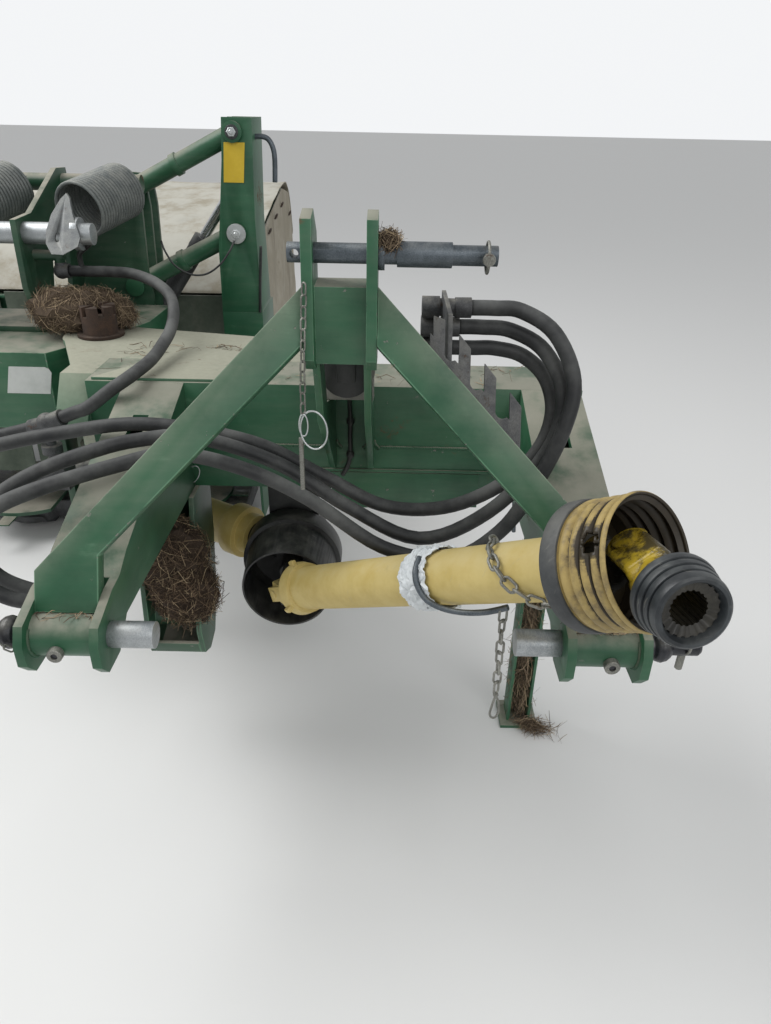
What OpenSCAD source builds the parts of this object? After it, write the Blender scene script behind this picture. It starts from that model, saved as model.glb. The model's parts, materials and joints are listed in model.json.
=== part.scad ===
// Disc mower conditioner on a three point headstock, parked on its stand leg and skids.
// Millimetres. The machine is laid out from the hitch: x to the right across the hitch,
// y backwards from the lower pins, z up from the ground. at_hitch() moves that layout
// so that the origin lies on the ground below the middle of the whole machine.

/* [Hitch] */
// Distance over the outer faces of the two lower brackets
hitch_w = 825; // [800:1:850]
// Width of one lower bracket over its lugs
bracket_w = 110; // [90:1:120]
// Height of the lower pins above the ground
pin_z = 620; // [600:1:640]
// Diameter of the lower pins
lower_pin_d = 36.6; // [30:0.1:37]
// Length of a lower pin's free inner stub
stub_len = 58; // [45:1:65]
// Thickness of the bracket lugs
lug_t = 12; // [10:1:15]
// Radius of the bracket lugs around the pin
lug_r = 45; // [42:1:48]
// Setback of the top link pin behind the lower pins
top_pin_y = 190; // [180:1:200]
// Height of the top link pin above the lower pins
mast_h = 466; // [455:1:475]
// Diameter of the top link pin's ends
top_pin_d = 25.4; // [22:0.1:26]
// Diameter of the sleeve on the top link pin
top_sleeve_d = 31.75; // [30:0.05:34]
// Lean of the mast's legs from upright
mast_lean = 24; // [22:0.5:26]
// Thickness of a mast leg's flat bar
leg_t = 22; // [16:1:26]
// Distance over the two mast clevis plates
clevis_w = 96; // [90:1:104]
// Thickness of the mast clevis plates
clevis_t = 14; // [10:1:18]

/* [Headstock] */
// Distance from the lower pins back to the main beam's front face
beam_front = 480; // [470:1:490]
// Depth of the main beam from front to back
beam_depth = 136; // [120:1:150]
// Height of the main beam's underside above the ground
beam_bottom = 605; // [595:1:615]
// Height of the main beam
beam_h = 205; // [195:1:210]
// Wall of the box sections
box_wall = 8; // [6:1:10]
// Thickness of the dusty top plate
top_plate_t = 12; // [8:1:15]
// Distance from the middle of the hitch to the kingpin, to the left
kingpin_x = 552; // [540:1:565]
// Distance from the lower pins back to the kingpin
kingpin_y = 778; // [765:1:790]
// Diameter of the kingpin
kingpin_d = 60; // [50:1:70]
// Width over the castle nut's flats
castle_nut_w = 72; // [64:1:80]
// Diameter of the document canister
canister_d = 78; // [70:1:84]

/* [Drive shaft] */
// Outer diameter of the yellow guard tube
guard_d = 78; // [70:1:80]
// Outer diameter of the corrugated funnel
funnel_d = 150; // [140:1:156]
// Length of the corrugated funnel
funnel_len = 85; // [80:1:100]
// Number of ribs round the funnel
funnel_ribs = 4; // [3:1:5]
// Diameter of the black input bell
bell_d = 196; // [180:1:210]
// Bore of the tractor end yoke
yoke_bore_d = 34.9; // [30:0.1:36]

/* [Boom and links] */
// Length of the parallel links between their pivots
link_len = 298; // [290:0.5:306]
// Slope of the parallel links at rest
link_slope = 26.5; // [25:0.5:28]
// Diameter of the parallel links' tubes
link_d = 44; // [38:1:48]
// Diameter of the link pins
link_pin_d = 30; // [24:1:32]
// Outer diameter of the relief springs
spring_d = 125; // [110:1:132]
// Wire diameter of the relief springs
spring_wire = 11.5; // [10:0.5:12]
// Number of coils in each relief spring
spring_coils = 17; // [14:1:18]
// Outer diameter of the lift cylinder
lift_barrel_d = 60; // [50:1:66]
// Diameter of the lift cylinder's rod
lift_rod_d = 32; // [25:1:35]

/* [Mower unit] */
// Distance from the middle of the hitch to the mower's inner side
mower_in = 318; // [300:1:330]
// Width of the mower unit over its canopy
mower_w = 2980; // [2960:1:3000]
// Distance from the lower pins back to the row of cutting discs
disc_y = 1430; // [1420:1:1440]
// Distance between neighbouring cutting discs
disc_pitch = 460; // [455:1:465]
// Number of cutting discs
disc_count = 6; // [6:1:6]
// Length of a cutting disc's oval body
disc_len = 400; // [380:1:410]
// Width of a cutting disc's oval body
disc_w = 230; // [200:1:250]
// Radius swept by the blades' tips
blade_r = 255; // [245:1:265]
// Distance from the lower pins back to the conditioner rotor's axis
rotor_y = 1850; // [1840:1:1860]
// Height of the conditioner rotor's axis
rotor_z = 420; // [410:1:430]
// Radius swept by the conditioner tines
tine_r = 280; // [270:1:285]
// Diameter of the conditioner rotor's drum
drum_d = 150; // [130:1:170]
// Thickness of the mower's steel side frames
side_t = 8; // [6:1:10]
// Thickness of the canopy and its curtains
cloth_t = 5; // [4:1:6]

/* [Hoses] */
// Diameter of the hydraulic hoses
hose_d = 23; // [20:1:24]

/* [Hidden] */
$fn = 48;

// Running clearance of pins and shafts in their bores, on the radius
run = 0.06;
// Gap between painted faces of neighbouring bodies
gap = 0.3;

// Place of the hitch's centre line in the finished part
hitch_x = 1400;
hitch_y = -995;

// Colours as they show
green = [0.10, 0.30, 0.17];
dark_green = [0.07, 0.20, 0.12];
dust = [0.55, 0.52, 0.45];
steel = [0.60, 0.61, 0.62];
rust = [0.28, 0.19, 0.14];
black = [0.08, 0.08, 0.09];
yellow = [0.80, 0.64, 0.18];
canvas = [0.72, 0.66, 0.52];
curtain = [0.22, 0.26, 0.22];

function unit(v) = v / norm(v);
module at_hitch() translate([hitch_x, hitch_y, 0]) children();

// Plate with its outline in the YZ plane, from x to x + t
module side_plate(x, t) translate([x, 0, 0]) rotate([90, 0, 90]) linear_extrude(t) children();
// Plate with its outline in the XZ plane, from y to y + t
module front_plate(y, t) translate([0, y + t, 0]) rotate([90, 0, 0]) linear_extrude(t) children();
// Plate with its outline in the XY plane, from z to z + t
module flat_plate(z, t) translate([0, 0, z]) linear_extrude(t) children();

// Local frame with its z axis from a towards b
module along(a, b) {
    v = b - a;
    translate(a) rotate([0, acos(v.z / norm(v)), atan2(v.y, v.x)]) children();
}
// Round bar from a to b
module bar(a, b, d) along(a, b) cylinder(d = d, h = norm(b - a));
// Round bars along the axes, from a start coordinate over a length
module x_bar(x, len, y, z, d) translate([x, y, z]) rotate([0, 90, 0]) cylinder(d = d, h = len);
module y_bar(y, len, x, z, d) translate([x, y + len, z]) rotate([90, 0, 0]) cylinder(d = d, h = len);
module z_bar(z, len, x, y, d) translate([x, y, z]) cylinder(d = d, h = len);

// Hollow box section with square walls, open at neither end
module box_section(corner, size, wall) {
    difference() {
        translate(corner) cube(size);
        translate(corner + [wall, wall, wall]) cube(size - 2 * [wall, wall, wall]);
    }
}

// Mast and lower brackets
top_pin_z = pin_z + mast_h;
rib_x = 35;
canister_z = 892;
// Upper edge of the mast's ribs, from the mast back to the beam
rib_line = [[top_pin_y + 110, canister_z - canister_d / 2 - 8],
            [beam_front - gap, beam_bottom + beam_h - 14]];
function rib_top(y) = rib_line[0].y + (y - rib_line[0].x)
    * (rib_line[1].y - rib_line[0].y) / (rib_line[1].x - rib_line[0].x);
half_hitch = hitch_w / 2;
inner_x = half_hitch - bracket_w;
leg_base_z = pin_z + 26;
leg_top_v = 450;
boss_d = 60;

// Local frame of the leaning mast: x across, y up the slope, z out towards the front
module on_mast() translate([0, 0, leg_base_z]) rotate([90 - mast_lean, 0, 0]) children();

module headstock_beam() color(green) at_hitch() {
    left = -480;
    rear_w = 440;
    rear_depth = 147;
    difference() {
        union() {
            box_section([left, beam_front, beam_bottom], [half_hitch - left, beam_depth, beam_h], box_wall);
            box_section([left, beam_front + beam_depth, beam_bottom],
                        [rear_w, rear_depth, beam_h - top_plate_t], box_wall);
            fork_plate(beam_bottom, 18);
        }
        z_bar(beam_bottom - 1, 20, -kingpin_x, kingpin_y, kingpin_d + 2 * run);
    }
    // Weld seam and shallow skirt on the front face
    translate([-60, beam_front - 4, beam_bottom + 38]) cube([inner_x + 56, 4, 5]);
    front_plate(beam_front - 3, 3)
        polygon([[-40, beam_bottom + 36], [-40, beam_bottom - 18], [0, beam_bottom - 40],
                 [240, beam_bottom - 34], [240, beam_bottom + 36]]);
}

// Plate of the kingpin's fork, with a round end about the kingpin
module fork_plate(z, t) {
    flat_plate(z, t) {
        translate([-kingpin_x, kingpin_y]) circle(r = 78);
        polygon([[-kingpin_x + 10, kingpin_y + 78], [-60, kingpin_y - 18],
                 [-60, beam_front + beam_depth + gap], [-480 - gap, beam_front + beam_depth + gap],
                 [-480 - gap, beam_front + 40], [-540, beam_front + 90],
                 [-kingpin_x - 62, kingpin_y - 46]]);
    }
}

module headstock_top_plate() color(dust) at_hitch() {
    z = beam_bottom + beam_h;
    difference() {
        union() {
            fork_plate(z - top_plate_t, top_plate_t);
            flat_plate(z, 5)
                polygon([[-470, 486], [-180, 486], [-150, 640], [-330, 690]]);
            // Front left corner, folded down beside the beam's end
            side_plate(-540, 540 - 480 - gap)
                polygon([[beam_front + 92, z], [beam_front + 40, z], [beam_front - 30, z - 90],
                         [beam_front - 24, z - 96], [beam_front + 44, z - 8], [beam_front + 92, z - 8]]);
        }
        z_bar(z - top_plate_t - 1, top_plate_t + 8, -kingpin_x, kingpin_y, kingpin_d + 2 * run);
    }
}

module kingpin() color(rust) at_hitch() {
    z = beam_bottom + beam_h;
    z_bar(beam_bottom - 24, z + 40 - beam_bottom + 24, -kingpin_x, kingpin_y, kingpin_d);
    z_bar(beam_bottom - 36, 36 - gap, -kingpin_x, kingpin_y, 92);
    // Washer and castle nut with six slots
    z_bar(z + gap, 6, -kingpin_x, kingpin_y, 96);
    difference() {
        z_bar(z + 6, 58, -kingpin_x, kingpin_y, castle_nut_w);
        for (i = [0:2])
            translate([-kingpin_x, kingpin_y, z + 56]) rotate([0, 0, 60 * i])
                cube([castle_nut_w + 2, 12, 24], center = true);
    }
}

module mast() color(green) at_hitch() {
    for (side = [-1, 1])
        difference() {
            side_plate(side > 0 ? clevis_w / 2 - clevis_t : -clevis_w / 2, clevis_t)
                polygon([[top_pin_y - 38, top_pin_z - 130], [top_pin_y - 30, top_pin_z + 44],
                         [top_pin_y + 6, top_pin_z + 52], [top_pin_y + 44, top_pin_z + 20],
                         [top_pin_y + 52, top_pin_z - 150], [top_pin_y - 10, top_pin_z - 150]]);
            x_bar(-clevis_w, 2 * clevis_w, top_pin_y, top_pin_z, top_pin_d + 2 * run);
        }
    // Box between the clevis plates
    difference() {
        translate([-clevis_w / 2 + clevis_t, top_pin_y - 12, top_pin_z - 142])
            cube([clevis_w - 2 * clevis_t, 60, 102]);
        translate([-clevis_w / 2 + clevis_t - 1, top_pin_y - 4, top_pin_z - 150])
            cube([clevis_w - 2 * clevis_t + 2, 44, 102]);
    }
    // Two ribs down to the beam's front face
    for (side = [-1, 1])
        side_plate(side * rib_x - 5, 10)
            polygon([[top_pin_y - 9, top_pin_z - 132], [top_pin_y + 46, top_pin_z - 132],
                     rib_line[0], rib_line[1], [beam_front - gap, beam_bottom + 46],
                     [beam_front - 40, beam_bottom + 62], [top_pin_y + 50, top_pin_z - 250]]);
}

module mast_leg(side) color(green) at_hitch() {
    bend_v = 62;
    difference() {
        on_mast() mirror([side > 0 ? 0 : 1, 0, 0]) translate([0, 0, -leg_t])
            linear_extrude(leg_t)
                polygon([[inner_x + lug_t + gap, 6], [half_hitch - lug_t - gap, 6],
                         [half_hitch - lug_t - gap, bend_v], [clevis_w / 2 + gap, leg_top_v - 10],
                         [clevis_w / 2 + gap, leg_top_v - 86], [inner_x + lug_t + gap, bend_v + 22]]);
        x_bar(-half_hitch - 1, hitch_w + 2, 0, pin_z, boss_d + 2 * gap);
    }
}
module mast_leg_left() mast_leg(-1);
module mast_leg_right() mast_leg(1);

// Box arm from the beam down to the bracket, with the bracket's lugs and tube
// A lower pin is thinner inside its bracket than over its free stub
shank_d = lower_pin_d - 2;
neck_len = 3;
module hitch_arm(side) color(green) at_hitch() mirror([side > 0 ? 0 : 1, 0, 0]) {
    top = beam_bottom + beam_h;
    arm_x = inner_x;
    arm_w = bracket_w - 4.5;
    difference() {
        side_plate(arm_x, arm_w)
            polygon([[beam_front - gap, top], [beam_front - gap, beam_bottom],
                     [120, pin_z - 12], [58, pin_z - 12], [58, pin_z + 52], [100, pin_z + 72]]);
        side_plate(arm_x + box_wall, arm_w - 2 * box_wall)
            polygon([[beam_front + 1, top - 12], [beam_front + 1, beam_bottom + 10],
                     [126, pin_z], [68, pin_z], [68, pin_z + 42], [104, pin_z + 62]]);
        // Slot in the top face
        translate([arm_x + 40, 330, pin_z + 60]) cube([26, 60, 160]);
    }
    difference() {
        union() {
            for (x = [inner_x, half_hitch - lug_t])
                side_plate(x, lug_t) polygon([
                    [-lug_r, pin_z + 10], [-lug_r, pin_z - 22], [-lug_r + 20, pin_z - lug_r],
                    [20, pin_z - lug_r], [64, pin_z - 12], [64, pin_z + 54],
                    [30, pin_z + 52], [-lug_r + 12, pin_z + 34]]);
            x_bar(inner_x, bracket_w, 0, pin_z, boss_d);
        }
        x_bar(inner_x - 1, bracket_w + 2, 0, pin_z, shank_d + 2 * run);
    }
    // Clamp bolt's round head on the front of the tube
    y_bar(-boss_d / 2 - 8, 12, inner_x + 62, pin_z - 8, 19);
}
module hitch_arm_left() hitch_arm(-1);
module hitch_arm_right() hitch_arm(1);

module lower_pin(side) color(steel) at_hitch() mirror([side > 0 ? 0 : 1, 0, 0]) {
    x_bar(inner_x - stub_len - neck_len, stub_len, 0, pin_z, lower_pin_d);
    x_bar(inner_x - neck_len - 1, neck_len + bracket_w + 20, 0, pin_z, shank_d);
    // Collar and turned knob outside the bracket, with the linch pin's hole in its end
    x_bar(half_hitch + gap, 8, 0, pin_z, 46);
    difference() {
        translate([half_hitch, 0, pin_z]) rotate([0, 90, 0]) rotate_extrude()
            polygon([[0, 12], [17, 12], [21, 17], [23, 24], [21, 31], [17, 36], [13, 39],
                     [13, 74], [10, 78], [0, 78]]);
        z_bar(pin_z - 30, 60, half_hitch + 58, 0, 11);
    }
}
module lower_pin_left() lower_pin(-1);
module lower_pin_right() lower_pin(1);

module top_link_pin() color(black) at_hitch() {
    difference() {
        union() {
            x_bar(-68, 268, top_pin_y, top_pin_z, top_pin_d);
            x_bar(clevis_w / 2 + 24, 70, top_pin_y, top_pin_z, top_sleeve_d);
        }
        for (x = [-58, 186])
            y_bar(top_pin_y - 30, 60, x, top_pin_z, 11);
    }
    x_bar(clevis_w / 2 + gap, 8, top_pin_y, top_pin_z, 40);
}

// Upper edge of a mast leg in the mast's frame
leg_edge = [[clevis_w / 2 + gap, leg_top_v - 10], [half_hitch - lug_t - gap, 62]];
function leg_edge_v(x) = leg_edge[0].y + (x - leg_edge[0].x)
    * (leg_edge[1].y - leg_edge[0].y) / (leg_edge[1].x - leg_edge[0].x);

// Comb plate behind the right leg that keeps the hoses
module hose_rack() color([0.25, 0.26, 0.26]) at_hitch() {
    tooth_w = 16;
    tooth_pitch = 34.7;
    tooth_x = 122;
    slot_v = 26;
    right = tooth_x + 3 * tooth_pitch + tooth_w;
    slot_r = (tooth_pitch - tooth_w) / 2;
    on_mast() translate([0, 0, -leg_t - 6 - gap]) linear_extrude(6) difference() {
        union() {
            polygon([[tooth_x - 4, leg_edge_v(tooth_x) - 30], [tooth_x - 4, leg_edge_v(tooth_x) + slot_v],
                     [right, leg_edge_v(right) + slot_v], [right, leg_edge_v(right) - 50]]);
            for (i = [0:3]) let (x = tooth_x + i * tooth_pitch)
                polygon([[x, leg_edge_v(x)], [x, leg_edge_v(x) + (i == 0 ? 48 : 62)],
                         [x + tooth_w, leg_edge_v(x + tooth_w) + 60],
                         [x + tooth_w, leg_edge_v(x + tooth_w)]]);
        }
        for (i = [0:2]) let (x = tooth_x + tooth_w + slot_r + i * tooth_pitch) {
            translate([x, leg_edge_v(x) + slot_v]) circle(r = slot_r);
            translate([x - slot_r, leg_edge_v(x) + slot_v]) square([2 * slot_r, 60]);
        }
    }
}

// Document tube lying on the ribs
module canister() color([0.20, 0.20, 0.21]) at_hitch() {
    y_bar(298, 34, 0, canister_z, canister_d);
    y_bar(332, 150, 0, canister_z, canister_d - 8);
    // Moulded grip on the cap
    intersection() {
        translate([-14, 284, canister_z - 10]) cube([28, 20, 44]);
        y_bar(280, 30, 0, canister_z, canister_d - 6);
    }
    // Saddle between the tube and the ribs
    side_plate(-rib_x - 5, 2 * rib_x + 10)
        polygon([[346, rib_top(346) + gap], [436, rib_top(436) + gap],
                 [436, canister_z - 20], [346, canister_z - 20]]);
}

// Deep open bracket below the left of the beam
trough_y = [376, 560];
module trough_bracket() color(green) at_hitch() {
    for (x = [-406, -304])
        side_plate(x, 10)
            polygon([[430, beam_bottom - gap], [392, 470], [trough_y[0], 330], [392, 270], [430, 252],
                     [476, 262], [520, 330], [550, 470], [trough_y[1], beam_bottom - gap]]);
    side_plate(-396, 92)
        polygon([[trough_y[0] + 4, 300], [392, 270], [430, 252], [476, 262], [520, 330], [550, 470],
                 [trough_y[1], beam_bottom - gap], [trough_y[1] - 8, beam_bottom - gap], [541, 472],
                 [512, 334], [471, 271], [431, 261], [398, 278], [trough_y[0] + 12, 302]]);
    x_bar(-396, 92, 446, 336, 62);
}

// Input of the drive: guard bell, bearing housing and the carrier that hangs from the beam
input_at = [-122, 375, 440];
gearbox_z = 445;
cross_a = [-208, 566, gearbox_z];
cross_b = [-kingpin_x + 76, kingpin_y - 46, gearbox_z];
cross_dir = unit(cross_b - cross_a);
cross_pin_d = 16;
cross_size = 34;
module input_bell() color(black) at_hitch() {
    x = input_at.x;
    z = input_at.z;
    difference() {
        union() {
            y_bar(472, 46, x, z, bell_d);
            translate([x, 472, z]) rotate([90, 0, 0])
                cylinder(d1 = bell_d - 16, d2 = 168, h = 472 - input_at.y);
        }
        translate([x, 478, z]) rotate([90, 0, 0])
            cylinder(d1 = bell_d - 26, d2 = 161, h = 482 - input_at.y);
        y_bar(477, 34, x, z, bell_d - 24);
    }
    // Bearing housing, its hanger and the stub of the cross shaft
    y_bar(516, 84, x, z, 130);
    translate([x - 50, 530, z + 20]) cube([100, 30, beam_bottom - gap - z - 20]);
    bar(cross_a - 70 * cross_dir, cross_a, 60);
    // Input shaft with its fork, bored for the cross that the drive shaft carries
    y_bar(input_at.y + 56, 470 - input_at.y, x, z, 40);
    difference() {
        translate([x - 9, input_at.y - 12, z - cross_size / 2 - 10 - gap])
            cube([18, 70, cross_size + 20 + 2 * gap]);
        translate([x - 10, input_at.y - 40, z - cross_size / 2 - gap])
            cube([20, 88, cross_size + 2 * gap]);
        z_bar(z - 40, 80, x, input_at.y, cross_pin_d + 2 * run);
    }
}

// Guarded shaft from the input to the swivel gearbox
module cross_shaft_guard() color(yellow) at_hitch() {
    bar(cross_a, cross_b, 88);
    bar(cross_a + 24 * cross_dir, cross_a + 60 * cross_dir, 112);
}

module swivel_gearbox() color(dark_green) at_hitch() {
    z_bar(gearbox_z - 45, beam_bottom - 36 - gap - gearbox_z + 45, -kingpin_x, kingpin_y, 166);
    bar(cross_b, cross_b + 60 * cross_dir, 80);
    translate([-kingpin_x + 52, kingpin_y - 78, gearbox_z + 50])
        cube([24, 70, beam_bottom - gap - gearbox_z - 50]);
}

// Stand leg that folds backwards between the cheeks of its bracket
stand_x = 380;
stand_y = 515;
stand_w = 52;
stand_pin_z = 562;
stand_pin_d = 20;
module stand_bracket() color(green) at_hitch() {
    cheek = 8;
    for (x = [stand_x - stand_w / 2 - gap - cheek, stand_x + stand_w / 2 + gap])
        side_plate(x, cheek)
            polygon([[beam_front + 2, beam_bottom - gap], [stand_y - 24, stand_pin_z - 24],
                     [stand_y + 24, stand_pin_z - 24], [stand_y + 60, beam_bottom - gap]]);
    x_bar(stand_x - stand_w / 2 - 16, stand_w + 32, stand_y, stand_pin_z, stand_pin_d);
}
module stand_leg() color(green) at_hitch() {
    top = stand_pin_z + stand_w / 2;
    difference() {
        translate([stand_x - stand_w / 2, stand_y - stand_w / 2, 8]) difference() {
            cube([stand_w, stand_w, top - 8]);
            translate([6, -1, -1]) cube([stand_w - 12, stand_w - 5, top]);
        }
        x_bar(stand_x - stand_w, 2 * stand_w, stand_y, stand_pin_z, stand_pin_d + 2 * run);
    }
    translate([stand_x - 42, stand_y - 42, 0]) cube([84, 84, 8]);
}

// Transmission shaft laid over the right bracket
pto_end = [343, -136, 837];
pto_dir = unit(pto_end - input_at);
pto_len = norm(pto_end - input_at);
pto_heading = atan2(pto_dir.y, pto_dir.x);
module on_pto() along(input_at, pto_end) children();

// Two cheeks of a joint's fork
module joint_cheeks(back, front) {
    for (s = [-1, 1])
        translate([-14, s * 23 - 5, -back]) cube([28, 10, back + front]);
}

yoke_at = pto_len - 14;
yoke_droop = 39.5;
yoke_turn = -67;
module pto_tube() color(yellow) at_hitch() on_pto() {
    rear = 62;
    difference() {
        union() {
            translate([0, 0, rear]) cylinder(d = guard_d, h = pto_len - funnel_len - rear + 20);
            translate([0, 0, rear]) cylinder(d1 = 98, d2 = 90, h = 22);
        }
        translate([0, 0, rear - 1]) cylinder(d = guard_d - 10, h = pto_len);
    }
    // Inner shaft with the forks' base at both ends, carried by two guard bearings
    translate([0, 0, 40]) cylinder(d = 42, h = yoke_at - 70);
    translate([0, 0, 36]) cylinder(d = 56, h = 14);
    joint_cheeks(14, 40);
    rotate([90, 0, 0]) cylinder(d = cross_pin_d, h = 62, center = true);
    rotate([0, -acos(pto_dir.z), 0]) {
        cube([cross_size, cross_size + 4, cross_size], center = true);
        cylinder(d = cross_pin_d, h = cross_size + 24, center = true);
    }
    translate([0, 0, yoke_at - 60]) cylinder(d = 56, h = 28);
    translate([0, 0, yoke_at]) rotate([0, 0, yoke_turn]) {
        cube([30, 30, 30], center = true);
        rotate([90, 0, 0]) cylinder(d = cross_pin_d, h = 66, center = true);
    }
    translate([0, 0, yoke_at - 40]) cylinder(d = 26, h = 40);
    for (z = [rear + 4, pto_len - funnel_len - 40])
        translate([0, 0, z]) difference() {
            cylinder(d = guard_d - 9, h = 12);
            translate([0, 0, -1]) cylinder(d = 41, h = 14);
        }
}

// Corrugated funnel with a smooth base ring
module pto_funnel() color(yellow) at_hitch() on_pto() {
    base = pto_len - funnel_len;
    rib = (funnel_len - 30) / funnel_ribs;
    outer = [for (i = [0:funnel_ribs - 1], p = [[0, -5], [0.3, 0], [0.6, 0], [0.9, -5]])
             [funnel_d / 2 + p.y, base + 22 + (i + p.x) * rib]];
    rotate_extrude(convexity = 6)
        polygon(concat([[guard_d / 2 + 0.06, base - 10], [guard_d / 2 + 8, base - 10],
                        [guard_d / 2 + 10, base], [funnel_d / 2 - 2, base], [funnel_d / 2 - 2, base + 18]],
                       outer,
                       [[funnel_d / 2, pto_len], [funnel_d / 2 - 6, pto_len],
                        [funnel_d / 2 - 11, pto_len - 12], [funnel_d / 2 - 11, base + 10],
                        [guard_d / 2 + 0.06, base + 10]]));
}

// Tractor end yoke with its quick release collar, drooping out of the funnel
collar_z = [78, 122];
module pto_yoke() color(yellow) at_hitch() on_pto() translate([0, 0, yoke_at])
    rotate([0, 0, yoke_turn]) rotate([0, yoke_droop, 0]) {
        difference() {
            joint_cheeks(15, 44);
            rotate([90, 0, 0]) cylinder(d = cross_pin_d + 2 * run, h = 80, center = true);
        }
        difference() {
            union() {
                translate([0, 0, 36]) cylinder(d1 = 54, d2 = 66, h = collar_z[0] - 36);
                translate([0, 0, collar_z[0]]) cylinder(d1 = 86, d2 = 66, h = collar_z[1] - collar_z[0]);
            }
            translate([0, 0, 44]) cylinder(d = yoke_bore_d, h = 120);
        }
    }

// Hoses: smooth curve through the route's points, swept as rings
function spline(p, i, t) =
    let (a = p[max(i - 1, 0)], b = p[i], c = p[i + 1], d = p[min(i + 2, len(p) - 1)])
    0.5 * (2 * b + (c - a) * t + (2 * a - 5 * b + 4 * c - d) * t * t
           + (3 * b - a - 3 * c + d) * t * t * t);
function route_points(p, n) =
    concat([for (i = [0:len(p) - 2], k = [0:n - 1]) spline(p, i, k / n)], [p[len(p) - 1]]);
module sweep(p, d, sides, ref) {
    n = len(p);
    rings = [for (i = [0:n - 1])
        let (t = unit(p[min(i + 1, n - 1)] - p[max(i - 1, 0)]), u = unit(cross(t, ref)), w = cross(t, u))
        for (k = [0:sides - 1]) p[i] + d / 2 * (cos(360 * k / sides) * u + sin(360 * k / sides) * w)];
    faces = concat(
        [[for (k = [0:sides - 1]) k]],
        [for (i = [0:n - 2], k = [0:sides - 1])
            [i * sides + k, (i + 1) * sides + k, (i + 1) * sides + (k + 1) % sides,
             i * sides + (k + 1) % sides]],
        [[for (k = [0:sides - 1]) (n - 1) * sides + sides - 1 - k]]);
    polyhedron(rings, faces, convexity = 6);
}

// Routes of the hoses, as they lie in the hitch's layout
route_a = [[-576, 446, 731], [-608, 454, 720], [-650, 461, 707], [-704, 455, 695], [-748, 428, 689],
           [-770, 384, 690], [-760, 336, 700], [-720, 304, 716], [-660, 296, 735], [-590, 304, 752],
           [-480, 322, 772], [-330, 335, 788], [-160, 340, 758], [-40, 330, 702], [60, 306, 662],
           [160, 292, 668], [246, 286, 712], [302, 290, 772], [322, 304, 832], [309, 322, 883],
           [272, 334, 915], [228, 338, 925], [194, 338, 925], [160, 338, 925]];
route_b = [[-424, 160, 572], [-454, 160, 573], [-492, 159, 580], [-530, 157, 603], [-550, 154, 645],
           [-545, 156, 690], [-515, 172, 730], [-466, 200, 758], [-400, 238, 776], [-330, 276, 784],
           [-240, 302, 780], [-110, 304, 735], [0, 290, 668], [120, 264, 624], [230, 258, 680],
           [312, 262, 785], [330, 280, 868], [300, 308, 930], [250, 330, 955], [205, 335, 958],
           [170, 335, 958]];
route_c = [[-424, 110, 590], [-454, 107, 592], [-490, 104, 601], [-524, 103, 626], [-540, 105, 664],
           [-530, 112, 704], [-496, 126, 737], [-440, 150, 758], [-345, 204, 772], [-262, 246, 776],
           [-160, 262, 745], [-60, 262, 694], [60, 244, 618], [170, 226, 610], [245, 222, 664],
           [292, 226, 745], [328, 242, 830], [338, 262, 900], [308, 290, 962], [260, 316, 988],
           [222, 322, 990], [185, 322, 990]];
route_d = [[-512, 434, 757], [-485, 429, 769], [-458, 424, 781], [-415, 430, 812], [-386, 458, 829],
           [-371, 530, 836], [-368, 601, 845], [-367, 660, 858], [-374, 719, 882], [-394, 766, 902],
           [-434, 806, 918], [-490, 848, 925], [-542, 866, 925], [-587, 866, 925], [-632, 866, 925]];
hose_steps = 2;
module hose(route, ref = [0, 1, 0]) color(black) at_hitch()
    sweep(route_points(route, hose_steps), hose_d, 10, ref);
module hose_a() hose(route_a, [1, 1, 1]);
module hose_b() hose(route_b);
module hose_c() hose(route_c);
module hose_d() hose(route_d);

// Crimped ferrule that meets a hose's first or last face
module ferrule(route, last, len) {
    p = route_points(route, hose_steps);
    n = len(p);
    along(last ? p[n - 1] : p[0], last ? p[n - 2] : p[1])
        translate([0, 0, -len]) cylinder(d = hose_d + 7, h = len);
}

// Tee on the boom's end of the upper hose
tee_at = [-650, 866, 925];
module hose_tee() color([0.13, 0.13, 0.14]) at_hitch() {
    ferrule(route_d, true, route_d[len(route_d) - 1].x - tee_at.x);
    translate(tee_at) sphere(d = 34);
    z_bar(tee_at.z, 18, tee_at.x, tee_at.y, 24);
}

// Fittings on the headstock: a tee on its valve, a block under the left arm, couplers by the rack
valve_at = [-544, 440, 744];
coupler_x = 112;
module hose_fittings() color([0.13, 0.13, 0.14]) at_hitch() {
    ferrule(route_a, false, 30);
    ferrule(route_d, false, 30);
    translate(valve_at) sphere(d = 36);
    z_bar(640, valve_at.z - 640, valve_at.x, valve_at.y, 18);
    z_bar(686, 16, valve_at.x, valve_at.y, 36);
    translate([valve_at.x - 24, valve_at.y - 22, 630]) cube([48, 48, 34]);
    flat_plate(beam_bottom + 18 + gap, 8)
        polygon([[-578, 412], [-514, 412], [-498, 560], [-545, 612], [-570, 560]]);
    // Block under the left arm
    ferrule(route_b, false, 30);
    ferrule(route_c, false, 30);
    translate([-410, 92, 556]) cube([34, 84, pin_z - 12 - 3 * gap - 556]);
    // Couplers in their holder behind the right leg
    for (route = [route_a, route_b, route_c]) let (e = route[len(route) - 1]) {
        ferrule(route, true, 24);
        x_bar(coupler_x, e.x - 12 - coupler_x, e.y, e.z, 26);
        x_bar(coupler_x, 26, e.y, e.z, 32);
    }
    difference() {
        side_plate(142, 6)
            polygon([[100, 900], [100, 1010], [345, 1010], [356, 900]]);
        on_mast() translate([0, 0, -leg_t - gap]) cube([400, 600, 200]);
        on_mast() translate([110, leg_edge_v(130) - 66, -leg_t - 6 - 2 * gap]) cube([140, 180, 40]);
    }
}

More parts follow.
